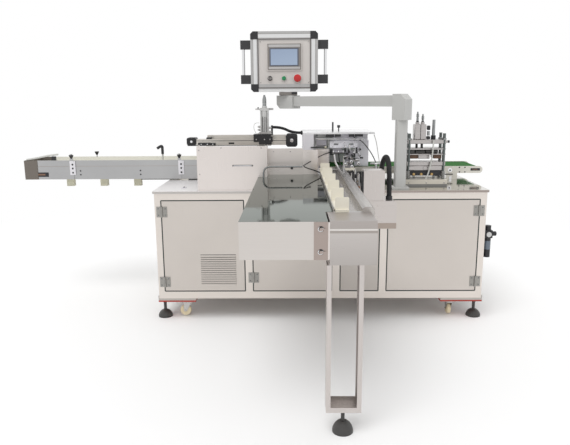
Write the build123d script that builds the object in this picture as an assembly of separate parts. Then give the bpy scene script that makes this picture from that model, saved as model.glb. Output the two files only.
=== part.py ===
from build123d import *
import math
import os

# Machine frame: X to the right, Y to the back, Z up, floor at Z 0.
# X 0 is the middle of the cabinet, Y 0 the front edge of the worktop.

# Cabinet
top_length = 2160
top_depth = 1000
top_height = 880
top_thick = 15
top_overhang = 10
body_bottom = 155
sheet = 3
frame_depth = 30
rail_top = top_height - 63
rail_bottom = 209
door_gap = 2
fit = 0.3
run_clear = 5

door_left_x = (-top_length / 2 + 56, -496)
door_middle_x = (-435, 76)
fixed_panel_x = (139, 384)
door_right_x = (444, top_length / 2 - 57)
door_z = (rail_bottom + door_gap, rail_top - door_gap)
low_door_top = top_height - 110
door_fold = 20

hinge_leaf = 35
hinge_height = 70
hinge_sheet = 3
hinge_knuckle = 12
hinge_pin = 6
hinge_low_z = 272
hinge_high_z = top_height - 135
low_hinge_high_z = top_height - 180

louvre_x = (-783, -551)
louvre_z = (249, 459)
louvre_pitch = 15
louvre_proud = 7
louvre_slit = 3

# Base bars, feet and casters
bar_depth = 80
bar_z = (112, 155)
bar_left_x = (-top_length / 2 - 8, -top_length / 2 + 246)
bar_right_x = (top_length / 2 - 263, top_length / 2 + 15)
bar_inset = 60
foot_x = top_length / 2 - 27
foot_y = 100
pad_d = 95
pad_rim = 12
pad_height = 48
stem_d = 20
foot_nut = 32
foot_nut_height = 12

wheel_d = 75
wheel_width = 25
wheel_lift = 8.5
caster_x = top_length / 2 - 193
caster_trail = 25
caster_plate = 70
caster_plate_thick = 4
fork_sheet = 3
axle_d = 8
crown_thick = 9

# Front table and flight lane
table_front = -1368
table_back = 158
table_left = -397
table_top = top_height + 86
table_drop = 162
bracket_width = 58
bracket_proud = 3
latch_proud = 8
latch_d = 14
latch_z = (table_top - 128, table_top - 31)
lane_end_x = (-22, 173)
lane_end_bottom = top_height - 100
lane_end_top = table_top - 2
lane_end_back = -1160
lane_end_round = 24
lane_back = 515
lane_wall = 4
lane_wall_top = table_top + 20
lane_left = 4
lane_right = (133, 190)
lane_bottom = top_height - 94
lane_floor_z = table_top - 22
flight_width = 62
flight_side_gap = 6
flight_height = 60
flight_thick = 4
flight_first = -1140
flight_pitch = 283
flight_count = 6
chain_top = table_top + 2
chain_half = 11
chain_thick = 3

# Leg under the end of the lane
leg_x = (-33, 122)
leg_depth = 75
leg_bottom = 110
leg_sheet = 4
leg_flange = 20
leg_lip = 24
leg_back_lip = 40
leg_pad_d = 93
leg_pad_height = 54
leg_stem_d = 17

# Drive box beside the lane
drive_x_end = 430
drive_y = (-350, -150)
drive_z = (top_height - 172, top_height - 7)
drive_round = 22
cover_x = (236, 357)
cover_y = (-345, -250)
cover_top = top_height + 170
conduit_d = 24

# Infeed conveyor
infeed_x = (-2140, -480)
infeed_y = (550, 850)
infeed_z = (top_height + 9, top_height + 148)
infeed_sheet = 4
infeed_bed_top = top_height + 61
infeed_chain_half = 20
infeed_chain_thick = 5
infeed_chain_width = 60
infeed_chain_y = 670
infeed_chain_x = (-2092, -1135)
lug_width = 53
lug_length = 76
lug_first = -1850
lug_pitch = 254
end_cap_width = 97
end_cap_sheet = 3
infeed_bracket_x = (-1790, -1000)
infeed_foot_x = (-1000, -560)
infeed_foot_width = 60
clamp_pin_height = 20
clamp_knob_d = 18
clamp_knob_height = 16

# Feeder guard and recessed wall
guard_x = (-787, -337)
guard_front = 27
guard_top = top_height + 284
recess_x_end = -106
recess_top = top_height + 257
guide_rod = 9
guide_z = top_height + 154
guide_x = (-362, -112)

# Transfer axis above the infeed
axis_x = (-883, -224)
axis_y = (620, 690)
axis_z = (top_height + 246, top_height + 290)
axis_leg_x = (-800, -430)
axis_leg_width = 50
axis_leg_y = (470, 535)
axis_cover_y = (700, 755)
axis_cover_top = top_height + 315
stop_x = (-862, -742)
pulley_left_x = (-953, -883)
pulley_left_z = (top_height + 247, top_height + 302)
pulley_right_x = (-224, -139)
pulley_right_z = (top_height + 232, top_height + 327)
carriage_x = (-460, -320)
carriage_z = (top_height + 270, top_height + 307)
carriage_low_z = top_height + 251
carriage_plate_top = top_height + 325
carriage_thick = 22
tube_d = 60
tube_top = top_height + 513
rod_d = 28
rod_tip = top_height + 606
carriage_x_mid = -380
hose_d = 20

# Bag-opening station
hood_x = (-101, 407)
hood_front = 480
hood_back = 896
hood_z = (top_height + 330, top_height + 342)
hood_sheet = 4
hood_pin_x = 117
hood_pin_y = 600
hood_pin_height = 68
hood_knob_x = 160
hood_knob_stem = 28
hood_knob_height = 18
hood_wall_bottom = top_height + 220
mouth_x = (-9, 83)
mouth_y = (520, 640)
mouth_z = (top_height + 226, top_height + 292)
mouth_sheet = 4
cross_x = (90, 289)
cross_z = (top_height + 232, top_height + 282)
cross_y = (505, 545)
side_block_x = (275, 374)
side_block_z = (top_height + 96, top_height + 280)
side_block_y = (560, 600)
jaw_x = (91, 198)
jaw_d = 34
jaw_z = top_height + 202
station_table_x = (190, 262)
station_table_y = (400, 515)
station_table_top = top_height + 95

# Green belt conveyor
belt_x = (62, top_length / 2 + 98)
belt_y = (540, 870)
belt_top = top_height + 90
belt_half = 21
belt_thick = 4
side_x = (45, top_length / 2 + 116)
side_y = (529, 881)
side_z = (top_height + 43, top_height + 93)
side_sheet = 6
side_foot_x = (top_length / 2 - 105, 250)
side_foot_width = 80

# Press station
press_x = (602, 834)
press_y = (230, 330)
column_d = 20
column_top = top_height + 346
press_margin = 20
press_base_z = (top_height, top_height + 42)
anvil_z = (top_height + 89, top_height + 160)
press_plate_z = (top_height + 276, top_height + 306)
platen_z = (top_height + 203, top_height + 250)
jaw_bottom = top_height + 176
press_cylinder = 79
press_cylinder_x = 677
press_cylinder_top = top_height + 405
piston_d = 16
press_rod_x = (662, 697)
press_rod_reach = (84, 68)
press_stop_x = 772
press_stop_d = 18
press_stop_height = 128
press_knob_reach = 26
press_knob_d = 20

# Pole, arm and control panel
pole_x = 522
pole_y = 95
pole_w = 70
pole_flange = 110
pole_flange_thick = 12
elbow_w = 91
elbow_z = (top_height + 440, top_height + 603)
elbow_cut = 34
arm_z = (top_height + 524, top_height + 594)
arm_w = 62
neck_x = -205
neck_y = 699
neck_w = 150
neck_z = (top_height + 507, top_height + 601)
coupling_d = 120
coupling_thick = 20
panel_x = (-474, 9)
panel_y = (640, 745)
panel_height = 421
panel_low = top_height + 627
panel_z = (panel_low, panel_low + panel_height)
panel_edge = 55
face_x = (-414, -48)
face_z = (panel_z[0] + 55, panel_z[1] - 61)
bezel_x = (-358, -105)
bezel_z = (panel_z[0] + 149, panel_z[1] - 80)
screen_x = (-334, -134)
screen_z = (panel_z[0] + 184, panel_z[1] - 121)
button_z = panel_z[0] + 95
button_x = (-336, -235, -138)
handle_x = (-529, 65)
handle_d = 14
handle_block_z = (panel_z[0] + 58, panel_z[0] + 121, panel_z[1] - 120, panel_z[1] - 58)

# Filter regulator on the right side
regulator_y = (20, 70)
regulator_z = (560, 610)
regulator_x_end = top_length / 2 + 44
regulator_plate = 4
regulator_margin = 8
regulator_bowl_low = 430
regulator_bowl_d = 44
regulator_knob_d = 40
regulator_knob_height = 30
regulator_port_reach = 28

# Offset of the stored frame: middle of the whole length and depth
origin_x = (infeed_x[0] + side_x[1]) / 2
leg_y = table_front + leg_depth / 2
reach_front = min(leg_y - leg_pad_d / 2, table_front - bracket_proud - latch_proud)
origin_y = (reach_front + top_depth) / 2


def block(x, y, z):
    size = (x[1] - x[0], y[1] - y[0], z[1] - z[0])
    return Pos(x[0], y[0], z[0]) * Box(*size, align=(Align.MIN,) * 3)


def upright(x, y, z, d):
    return Pos(x, y, z[0]) * Cylinder(d / 2, z[1] - z[0], align=(Align.CENTER, Align.CENTER, Align.MIN))


def rod_x(x, y, z, d):
    bar = Cylinder(d / 2, x[1] - x[0], align=(Align.CENTER, Align.CENTER, Align.MIN))
    return Pos(x[0], y, z) * Rot(0, 90, 0) * bar


def rod_y(x, y, z, d):
    bar = Cylinder(d / 2, y[1] - y[0], align=(Align.CENTER, Align.CENTER, Align.MIN))
    return Pos(x, y[0], z) * Rot(-90, 0, 0) * bar


def prism_y(points, y):
    face = Plane.XZ * Polygon(*points, align=None)
    return Pos(0, y[0], 0) * extrude(face, y[1] - y[0], dir=(0, 1, 0))


def prism_x(points, x):
    face = Plane.YZ * Polygon(*points, align=None)
    return Pos(x[0], 0, 0) * extrude(face, x[1] - x[0], dir=(1, 0, 0))


def slot_y(x, z, y, length, height):
    face = Plane.XZ * Pos(x, z) * SlotOverall(length, height)
    return Pos(0, y[0], 0) * extrude(face, y[1] - y[0], dir=(0, 1, 0))


def group(shapes):
    return Compound([solid for shape in shapes for solid in shape.solids()])


def save(shape, node):
    moved = Pos(-origin_x, -origin_y, 0) * shape
    solids = moved.solids()
    export_step(solids[0] if len(solids) == 1 else Compound(solids), "parts/" + node + ".step")


# Cabinet

body_x = (-top_length / 2 + top_overhang, top_length / 2 - top_overhang)
body_y = (top_overhang, top_depth - top_overhang)
body_top = top_height - top_thick
door_y = (body_y[0], body_y[0] + door_fold)
frame_y = (body_y[0], body_y[0] + frame_depth)


def worktop():
    slab = block((-top_length / 2, top_length / 2), (0, top_depth), (body_top, top_height))
    return fillet(slab.edges().filter_by(Axis.Z), 8)


def cabinet_sides():
    z = (body_bottom + sheet, body_top)
    y = (frame_y[1], body_y[1] - sheet)
    left = block((body_x[0], body_x[0] + sheet), y, z)
    right = block((body_x[1] - sheet, body_x[1]), y, z)
    return group([left, right])


def cabinet_back():
    return block(body_x, (body_y[1] - sheet, body_y[1]), (body_bottom + sheet, body_top))


def cabinet_floor():
    return block(body_x, body_y, (body_bottom, body_bottom + sheet))


def front_rails():
    low = block(body_x, frame_y, (body_bottom + sheet, rail_bottom))
    high = block(body_x, frame_y, (rail_top, body_top))
    header_x = (door_middle_x[0] - door_gap, fixed_panel_x[1] + door_gap)
    header = block(header_x, frame_y, (low_door_top + door_gap, rail_top))
    return group([low, high + header])


def front_posts():
    edges = [
        (body_x[0], door_left_x[0] - door_gap),
        (door_left_x[1] + door_gap, door_middle_x[0] - door_gap),
        (door_middle_x[1] + door_gap, fixed_panel_x[0] - door_gap),
        (fixed_panel_x[1] + door_gap, door_right_x[0] - door_gap),
        (door_right_x[1] + door_gap, body_x[1]),
    ]
    tops = [rail_top, rail_top, low_door_top + door_gap, rail_top, rail_top]
    return group(block(x, frame_y, (rail_bottom, top)) for x, top in zip(edges, tops))


def fixed_panel():
    z = (door_z[0], low_door_top)
    pan = block(fixed_panel_x, (frame_y[0], frame_y[1]), z)
    flange_x = (fixed_panel_x[0] - 20, fixed_panel_x[1] + 20)
    flange = block(flange_x, (frame_y[1], frame_y[1] + sheet), (z[0] - 20, z[1] + 20))
    return pan + flange


def hinge_axis(edge):
    return (edge, body_y[0] - hinge_knuckle / 2)


def hinge_part(edge, side, z, spans):
    """A leaf on the given side of the edge with its share of the knuckles."""
    x, y = hinge_axis(edge)
    inner = x + side * hinge_knuckle * 0.5
    outer = x + side * hinge_leaf
    leaf_y = (body_y[0] - hinge_sheet, body_y[0])
    leaf = block(sorted((inner, outer)), leaf_y, (z - hinge_height / 2, z + hinge_height / 2))
    web = block(sorted((x, inner + side * 2)), leaf_y, (z - hinge_height / 2, z + hinge_height / 2))
    shape = leaf
    for low, high in spans:
        shape += upright(x, y, (z + low, z + high), hinge_knuckle)
        shape += web & block(sorted((x, inner + side * 2)), leaf_y, (z + low, z + high))
    return shape


def door_leaf(edge, side, z):
    third = hinge_height / 6
    bore = upright(*hinge_axis(edge), (z - hinge_height, z + hinge_height), hinge_pin + 2 * fit)
    return hinge_part(edge, side, z, [(-third + fit, third - fit)]) - bore


def frame_leaf(edge, side, z):
    third = hinge_height / 6
    half = hinge_height / 2
    pin = upright(*hinge_axis(edge), (z - half, z + half), hinge_pin)
    return hinge_part(edge, side, z, [(-half, -third), (third, half)]) + pin


def door_pan(x, z):
    pan = block(x, door_y, z)
    inner_x = (x[0] + sheet, x[1] - sheet)
    inner_z = (z[0] + sheet, z[1] - sheet)
    inside = block(inner_x, (door_y[0] + sheet, door_y[1]), inner_z)
    return pan - inside


def louvres(door):
    count = int((louvre_z[1] - louvre_z[0]) / louvre_pitch)
    for k in range(count):
        z = louvre_z[0] + k * louvre_pitch
        face = body_y[0]
        points = [(face, z), (face - louvre_proud, z), (face, z + louvre_pitch * 0.75)]
        hood = prism_x(points, louvre_x)
        slit_x = (louvre_x[0] + 3, louvre_x[1] - 3)
        slit = block(slit_x, (face - louvre_proud + 2, face + sheet), (z, z + louvre_slit))
        door = door + hood - slit
    return door


def door(x, z, hinge_side, hinge_z):
    shape = door_pan(x, z)
    edge = x[0] if hinge_side < 0 else x[1]
    for height in hinge_z:
        shape += door_leaf(edge, -hinge_side, height)
    return shape


def frame_hinges():
    high = (hinge_low_z, hinge_high_z)
    low = (hinge_low_z + 29, low_hinge_high_z)
    leaves = [frame_leaf(door_left_x[0], -1, z) for z in high]
    leaves += [frame_leaf(door_middle_x[0], -1, z) for z in low]
    leaves += [frame_leaf(door_right_x[1], 1, z) for z in high]
    return group(leaves)


# Base bars, feet and casters

bar_y_front = (bar_inset, bar_inset + bar_depth)
bar_y_back = (top_depth - bar_inset - bar_depth, top_depth - bar_inset)


def caster_places():
    """Swivel axis and trail direction of each caster, front left first."""
    front = (bar_y_front[0] + bar_y_front[1]) / 2
    back = (bar_y_back[0] + bar_y_back[1]) / 2
    return [
        ((-caster_x, front), 180),
        ((caster_x, front), 90),
        ((-caster_x, back), 200),
        ((caster_x, back), 75),
    ]


def base_bars():
    bars = []
    plates = [place for place, turn in caster_places()]
    for y in (bar_y_front, bar_y_back):
        for x in (bar_left_x, bar_right_x):
            bar = fillet(block(x, y, bar_z).edges().filter_by(Axis.X), 4)
            for px, py in plates:
                if x[0] < px < x[1] and y[0] < py < y[1]:
                    half = caster_plate / 2
                    z = (bar_z[0] - caster_plate_thick, bar_z[0])
                    bar += block((px - half, px + half), (py - half, py + half), z)
            bars.append(bar)
    return group(bars)


def foot(x, y, pad, height, stem, top):
    rim = pad / 2
    neck = stem / 2 + 7
    edge = Polyline((0, 0), (rim, 0), (rim, pad_rim))
    dome = ThreePointArc((rim, pad_rim), ((rim + neck) / 2 + 3, height * 0.72), (neck, height))
    close = Polyline((neck, height), (0, height), (0, 0))
    profile = make_face(Plane.XZ * (edge + dome + close))
    shape = revolve(profile, Axis.Z)
    shape += upright(0, 0, (height, top), stem)
    nut = extrude(RegularPolygon(foot_nut / 2, 6), foot_nut_height)
    shape += Pos(0, 0, top - foot_nut_height) * nut
    return Pos(x, y, 0) * shape


def levelling_feet():
    feet = []
    for x in (-foot_x, foot_x):
        for y in (foot_y, top_depth - foot_y):
            feet.append(foot(x, y, pad_d, pad_height, stem_d, bar_z[0]))
    leg_middle = (leg_x[0] + leg_x[1]) / 2
    feet.append(foot(leg_middle, leg_y, leg_pad_d, leg_pad_height, leg_stem_d, leg_bottom))
    return group(feet)


crown_top = bar_z[0] - caster_plate_thick - fit
wheel_z = wheel_lift + wheel_d / 2


def caster_fork():
    """Fork with its swivel axis at the origin and the wheel trailing along X."""
    crown = upright(0, 0, (crown_top - crown_thick, crown_top), 2 * caster_trail + 6)
    reach = caster_trail + 12
    inner = wheel_width / 2 + 3
    outer = inner + fork_sheet
    crown += block((-16, reach), (-outer, outer), (crown_top - crown_thick, crown_top - 4))
    cheeks = []
    for side in (-1, 1):
        points = [
            (-16, crown_top - crown_thick),
            (reach, crown_top - crown_thick),
            (caster_trail + 10, wheel_z - 8),
            (caster_trail - 8, wheel_z - 8),
        ]
        cheeks.append(prism_y(points, sorted((side * inner, side * outer))))
    axle = rod_y(caster_trail, (-outer - 4, outer + 4), wheel_z, axle_d)
    return crown + cheeks + axle


def caster_wheel():
    half = wheel_width / 2
    tyre = rod_y(caster_trail, (-half, half), wheel_z, wheel_d)
    tyre = fillet(tyre.edges().filter_by(GeomType.CIRCLE), 5)
    hub = rod_y(caster_trail, (-half - 2, half + 2), wheel_z, wheel_d * 0.4)
    bore = rod_y(caster_trail, (-half - 3, half + 3), wheel_z, axle_d + 2 * fit)
    return tyre + hub - bore


def placed(shape, place, turn):
    return Pos(place[0], place[1], 0) * Rot(0, 0, turn) * shape


# Front table and flight lane

def stadium(front, back, middle, half, width):
    """Closed loop form along X from front to back, from Y 0 to the given width."""
    return slot_y((front + back) / 2, middle, (0, width), back - front, 2 * half)


def loop_solid(start, end, middle, half, thick, width):
    outer = stadium(start, end, middle, half, width)
    inner = Pos(0, -1, 0) * stadium(start + thick, end - thick, middle, half - thick, width + 2)
    return outer - inner


def deck():
    x = (table_left, lane_left - 2)
    z = (table_top - table_drop, table_top)
    shell = block(x, (table_front, table_back), z)
    inner_y = (table_front + sheet, table_back - sheet)
    shell -= block((x[0] + sheet, x[1] - sheet), inner_y, (z[0], z[1] - sheet))
    corner = block((lane_end_x[0] - 8, x[1]), (table_front, lane_end_back), z)
    shell -= corner
    shell += block((lane_end_x[0] - 8 - sheet, lane_end_x[0] - 8), (table_front, lane_end_back), z)
    shell += block((lane_end_x[0] - 8 - sheet, x[1]), (lane_end_back, lane_end_back + sheet), z)
    shell -= block((x[0] - 1, x[1] + 1), (-fit, table_back + 1), (z[0] - 1, top_height))
    return shell


def deck_bracket():
    """Joint strip on the skirt with its two toggle latches."""
    x = (lane_end_x[0] - 8 - bracket_width, lane_end_x[0] - 8)
    z = (table_top - table_drop, table_top - 2)
    strip = block(x, (table_front - bracket_proud, table_front), z)
    middle = (x[0] + x[1]) / 2
    front = table_front - bracket_proud
    for height in latch_z:
        strip += rod_y(middle, (front - latch_proud, front), height, latch_d)
        strip += block((middle - 5, middle + 18), (front - latch_proud, front), (height - 4, height + 4))
    return strip


def lane_end():
    box = block(lane_end_x, (table_front, lane_end_back), (lane_end_bottom, lane_end_top))
    front_edges = box.edges().filter_by(Axis.X).group_by(Axis.Z)[-1].sort_by(Axis.Y)
    return fillet(front_edges[0], lane_end_round)


chain_x = (lane_left + lane_wall + flight_side_gap, lane_left + lane_wall + flight_side_gap + flight_width)
chain_middle = chain_top - chain_half
chain_y = (lane_end_back + run_clear, lane_back - run_clear)


def lane_section(bottom):
    left = block((lane_left, lane_left + lane_wall), (0, 1), (bottom, lane_wall_top))
    floor = block((lane_left, lane_right[0]), (0, 1), (bottom, bottom + lane_wall))
    outline = [
        (lane_right[0], bottom),
        (lane_right[1], bottom),
        (lane_right[1], lane_wall_top - 10),
        (lane_right[1] - 12, lane_wall_top + 2),
        (lane_right[0] + 14, lane_wall_top + 2),
        (lane_right[0], lane_wall_top - 6),
    ]
    beam = prism_y(outline, (0, 1))
    ledge_x = (chain_x[1] + flight_side_gap, lane_right[0])
    ledge = block(ledge_x, (0, 1), (lane_floor_z, lane_floor_z + lane_wall))
    return (left + floor + beam + ledge).faces().sort_by(Axis.Y)[0]


def lane_channel():
    front = extrude(lane_section(lane_bottom), dir=(0, 1, 0), amount=-fit - lane_end_back)
    back = extrude(lane_section(top_height), dir=(0, 1, 0), amount=lane_back + fit)
    return Pos(0, lane_end_back, 0) * front + Pos(0, -fit, 0) * back


def flight():
    plate = block((0, flight_width), (-flight_thick / 2, flight_thick / 2), (0, flight_height))
    plate = fillet(plate.edges().filter_by(Axis.Y).group_by(Axis.Z)[-1], 5)
    foot_block = block((0, flight_width), (-12, 12), (0, 5))
    return Pos(chain_x[0], 0, 0) * (plate + foot_block)


def flight_chain():
    loop = loop_solid(chain_y[0], chain_y[1], chain_middle, chain_half, chain_thick, flight_width)
    belt = Rot(0, 0, 90) * loop
    chain = Pos(chain_x[1], 0, 0) * belt
    for k in range(flight_count):
        y = flight_first + k * flight_pitch
        chain += Pos(0, y, chain_top) * flight()
        below = Pos(0, y + flight_pitch / 2, chain_top - 2 * chain_half) * Rot(180, 0, 0) * flight()
        chain += below if y + flight_pitch / 2 < chain_y[1] - 2 * chain_half else []
    return chain


# Leg frame

def leg_frame():
    y = (table_front, table_front + leg_depth)
    z = (leg_bottom, lane_end_bottom)
    leg = block(leg_x, y, (leg_bottom, leg_bottom + leg_sheet))
    leg += block(leg_x, (y[0], y[0] + leg_sheet), (leg_bottom, leg_bottom + leg_lip))
    leg += block(leg_x, (y[1] - leg_sheet, y[1]), (leg_bottom, leg_bottom + leg_back_lip))
    for outer, way in ((leg_x[0], 1), (leg_x[1], -1)):
        web = sorted((outer, outer + way * leg_sheet))
        flange = sorted((outer, outer + way * leg_flange))
        leg += block(web, y, z)
        leg += block(flange, (y[0], y[0] + leg_sheet), z)
        leg += block(flange, (y[1] - leg_sheet, y[1]), z)
    return leg


# Drive box

def drive_box():
    box = block((lane_right[1], drive_x_end), drive_y, drive_z)
    edge = box.edges().filter_by(Axis.Y).group_by(Axis.Z)[-1].sort_by(Axis.X)[-1]
    return fillet(edge, drive_round)


def valve_cover():
    box = block(cover_x, cover_y, (drive_z[1], cover_top))
    return fillet(box.edges().filter_by(Axis.Y).group_by(Axis.Z)[-1], 8)


def hose(points, d):
    path_points = [Vector(*p) for p in points]
    radii = []
    for a, b, c in zip(path_points, path_points[1:], path_points[2:]):
        turn = (b - a).get_angle(c - b)
        shorter = min((b - a).length, (c - b).length)
        radii.append(0.45 * shorter / math.tan(math.radians(turn / 2)))
    print("hose radii", [round(r) for r in radii], "diameter", d)
    path = FilletPolyline(*path_points, radius=radii)
    return sweep((path ^ 0) * Circle(d / 2), path)


conduit_points = [
    (391, -300, drive_z[1] + 22),
    (391, -300, top_height + 110),
    (396, -228, top_height + 202),
    (397, -122, top_height + 234),
    (392, -22, top_height + 194),
    (389, 32, top_height + 102),
    (389, 32, top_height + 22),
]


def conduit_glands():
    glands = []
    for point, seat in ((conduit_points[0], drive_z[1]), (conduit_points[-1], top_height)):
        glands.append(upright(point[0], point[1], (seat, point[2]), conduit_d + 14))
    return glands


# Infeed conveyor

infeed_chain_z = infeed_bed_top - infeed_chain_half


def infeed_sides():
    plates = []
    slot_z = infeed_chain_z
    for y in ((infeed_y[0], infeed_y[0] + infeed_sheet), (infeed_y[1] - infeed_sheet, infeed_y[1])):
        plate = block(infeed_x, y, infeed_z)
        plates.append(plate - slot_y(infeed_chain_x[0] + infeed_chain_half + 60, slot_z, y, 80, 22))
    return plates[0] + plates[1] + infeed_end_cap() + infeed_brackets()


def infeed_bed():
    y = (infeed_y[0] + infeed_sheet, infeed_y[1] - infeed_sheet)
    bed_x = (infeed_x[0] + end_cap_sheet, infeed_x[1])
    plate = block(bed_x, y, (infeed_bed_top - 4, infeed_bed_top))
    chain_half_width = infeed_chain_width / 2 + run_clear
    slot_x = (infeed_x[0] - 1, infeed_chain_x[1] + infeed_chain_half + 60)
    slot_y = (infeed_chain_y - chain_half_width, infeed_chain_y + chain_half_width)
    plate -= block(slot_x, slot_y, (infeed_bed_top - 5, infeed_bed_top + 1))
    for x in infeed_foot_x:
        plate += block((x, x + infeed_foot_width), y, (top_height, infeed_bed_top - 4))
    return plate


def infeed_chain():
    start = infeed_chain_x[0] - infeed_chain_half
    end = infeed_chain_x[1] + infeed_chain_half
    belt = loop_solid(start, end, infeed_chain_z, infeed_chain_half, infeed_chain_thick, infeed_chain_width)
    chain = Pos(0, infeed_chain_y - infeed_chain_width / 2, 0) * belt
    y = (infeed_chain_y - 20, infeed_chain_y + 20)
    low = infeed_bed_top - 2 * infeed_chain_half
    for k in range(3):
        x = lug_first + k * lug_pitch
        chain += block((x - lug_width / 2, x + lug_width / 2), y, (low - lug_length, low))
    for k in range(3):
        x = lug_first + (k + 0.5) * lug_pitch
        lug_x = (x - lug_width / 2, x + lug_width / 2)
        chain += block(lug_x, y, (infeed_bed_top, infeed_bed_top + lug_length))
    return chain


def infeed_end_cap():
    x = (infeed_x[0], infeed_x[0] + end_cap_width)
    y = (infeed_y[0] - end_cap_sheet, infeed_y[1] + end_cap_sheet)
    cap = block(x, (y[0], infeed_y[0]), infeed_z) + block(x, (infeed_y[1], y[1]), infeed_z)
    cap += block((x[0], x[0] + end_cap_sheet), y, infeed_z)
    return cap


def infeed_brackets():
    strips = []
    for x in infeed_bracket_x:
        strip = block((x - 12, x + 12), (infeed_y[0] - 4, infeed_y[0]), (infeed_z[0], infeed_z[1] + 14))
        strip += upright(x, infeed_y[0] - 2, (infeed_z[1] + 14, infeed_z[1] + 34), 4)
        strip += upright(x, infeed_y[0] - 2, (infeed_z[1] + 30, infeed_z[1] + 46), 18)
        strips.append(strip)
    return strips


# Rollers and shafts of the three conveyors

def conveyor_rollers():
    rollers = []
    for x in infeed_chain_x:
        radius = infeed_chain_half - infeed_chain_thick - fit
        half = infeed_chain_width / 2
        drum = rod_y(x, (infeed_chain_y - half, infeed_chain_y + half), infeed_chain_z, 2 * radius)
        drum += rod_y(x, (infeed_y[0] + infeed_sheet, infeed_y[1] - infeed_sheet), infeed_chain_z, 12)
        rollers.append(drum)
    for y in (chain_y[0] + chain_half, chain_y[1] - chain_half):
        radius = chain_half - chain_thick - fit
        rollers.append(rod_x((lane_left + lane_wall, lane_right[0]), y, chain_middle, 2 * radius))
    for x in (belt_x[0] + belt_half, belt_x[1] - belt_half):
        radius = belt_half - belt_thick - fit
        drum = rod_y(x, belt_y, belt_top - belt_half, 2 * radius)
        drum += rod_y(x, (side_y[0] + side_sheet, side_y[1] - side_sheet), belt_top - belt_half, 14)
        rollers.append(drum)
    return group(rollers)


# Feeder guard and recessed wall

def feeder_guard():
    x = guard_x
    z = (top_height, guard_top)
    guard = block(x, (guard_front, guard_front + sheet), z)
    guard += block(x, (guard_front, guard_front + 24), (guard_top - sheet, guard_top))
    for side in ((x[0], x[0] + sheet), (x[1] - sheet, x[1])):
        guard += block(side, (guard_front, table_back), z)
    guard += block(x, (guard_front, table_back), (top_height, top_height + sheet))
    guard -= block((x[0] - 1, x[1] + 1), (guard_front - 1, guard_front + 1), (940, 942))
    hole_y = (guard_front - 1, table_back + 1)
    deck_hole = block((table_left - 1, x[1] + 1), hole_y, (top_height, table_top + 1))
    return guard - deck_hole


def recess_wall():
    x = (guard_x[1], recess_x_end)
    wall = block(x, (table_back, table_back + sheet), (top_height, recess_top))
    wall += block(x, (table_back, table_back + 20), (recess_top - sheet, recess_top))
    return wall




def guide_bar():
    y = guard_front - 12
    points = [(guide_x[0], y, table_top), (guide_x[0], y, guide_z), (guide_x[1], y, guide_z)]
    path = FilletPolyline(*[Vector(*p) for p in points], radius=40)
    return sweep((path ^ 0) * Circle(guide_rod / 2), path)


# Transfer axis

def transfer_beam():
    beam = block(axis_x, axis_y, axis_z)
    beam += block(axis_x, (axis_y[1], axis_cover_y[1]), (axis_z[0], axis_z[0] + 12))
    cover_x_span = (axis_x[0] + 70, axis_x[1])
    beam += block(cover_x_span, axis_cover_y, (axis_z[0], axis_cover_top))
    for x in axis_leg_x:
        span = (x, x + axis_leg_width)
        beam += block(span, axis_leg_y, (top_height, axis_z[0]))
        beam += block(span, (axis_leg_y[0], axis_y[1]), (axis_z[0] - 14, axis_z[0]))
    return beam


def transfer_ends():
    y = (axis_y[0] - 6, axis_y[1] + 6)
    left = block(pulley_left_x, y, pulley_left_z)
    left = fillet(left.edges().filter_by(Axis.Y), 12)
    right = block(pulley_right_x, y, pulley_right_z)
    right = fillet(right.edges().filter_by(Axis.Y), 20)
    stop = block(stop_x, (axis_y[0] - 16, axis_y[0]), (axis_z[0], axis_z[0] + 18))
    return group([left, right, stop])


carriage_front = axis_y[0] - fit - carriage_thick


def transfer_carriage():
    block_y = (carriage_front, axis_y[0] - fit)
    shape = block(carriage_x, block_y, (carriage_z[0], carriage_z[1]))
    low_x = (carriage_x[0] + 40, carriage_x[1] - 8)
    shape += block(low_x, block_y, (carriage_low_z, carriage_z[0]))
    plate_y = (carriage_front, axis_cover_y[0] - run_clear)
    shape += block((carriage_x[0], carriage_x[1] - 14), plate_y, (carriage_z[1], carriage_plate_top))
    runner_y = (axis_y[0] + 8, axis_y[1] - 8)
    for x in (carriage_x[0] + 6, carriage_x[1] - 60):
        shape += block((x, x + 40), runner_y, (axis_z[1] + fit, carriage_z[1]))
    return shape


def lift_cylinder():
    y = (axis_y[0] + axis_y[1]) / 2
    x = carriage_x_mid
    shape = upright(x, y, (carriage_plate_top, tube_top - 12), tube_d)
    for corner in ((-1, -1), (-1, 1), (1, -1), (1, 1)):
        place = (x + corner[0] * tube_d * 0.42, y + corner[1] * tube_d * 0.42)
        shape += upright(place[0], place[1], (carriage_plate_top, tube_top - 12), 12)
    shape += block((x - 33, x + 33), (y - 33, y + 33), (tube_top - 20, tube_top))
    shape += upright(x, y, (tube_top, tube_top + 14), rod_d + 8)
    shape += upright(x, y, (tube_top + 14, rod_tip - 30), rod_d)
    tip = Pos(x, y, rod_tip - 30) * Cone(rod_d / 2, 5, 30, align=(Align.CENTER, Align.CENTER, Align.MIN))
    return shape + tip


# Bag-opening station

def station_frame():
    x = hood_x
    back = block(x, (hood_back - hood_sheet, hood_back), (top_height, hood_z[0]))
    left = block((x[0], x[0] + hood_sheet), (hood_front, hood_back), (hood_wall_bottom, hood_z[0]))
    front_y = (hood_front, hood_front + hood_sheet)
    front = block((x[0], mouth_x[0] - 16), front_y, (hood_wall_bottom, hood_z[0]))
    right = block((x[1] - hood_sheet, x[1]), (side_y[1] + 2, hood_back), (top_height, hood_z[0]))
    return back + left + front + right


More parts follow.
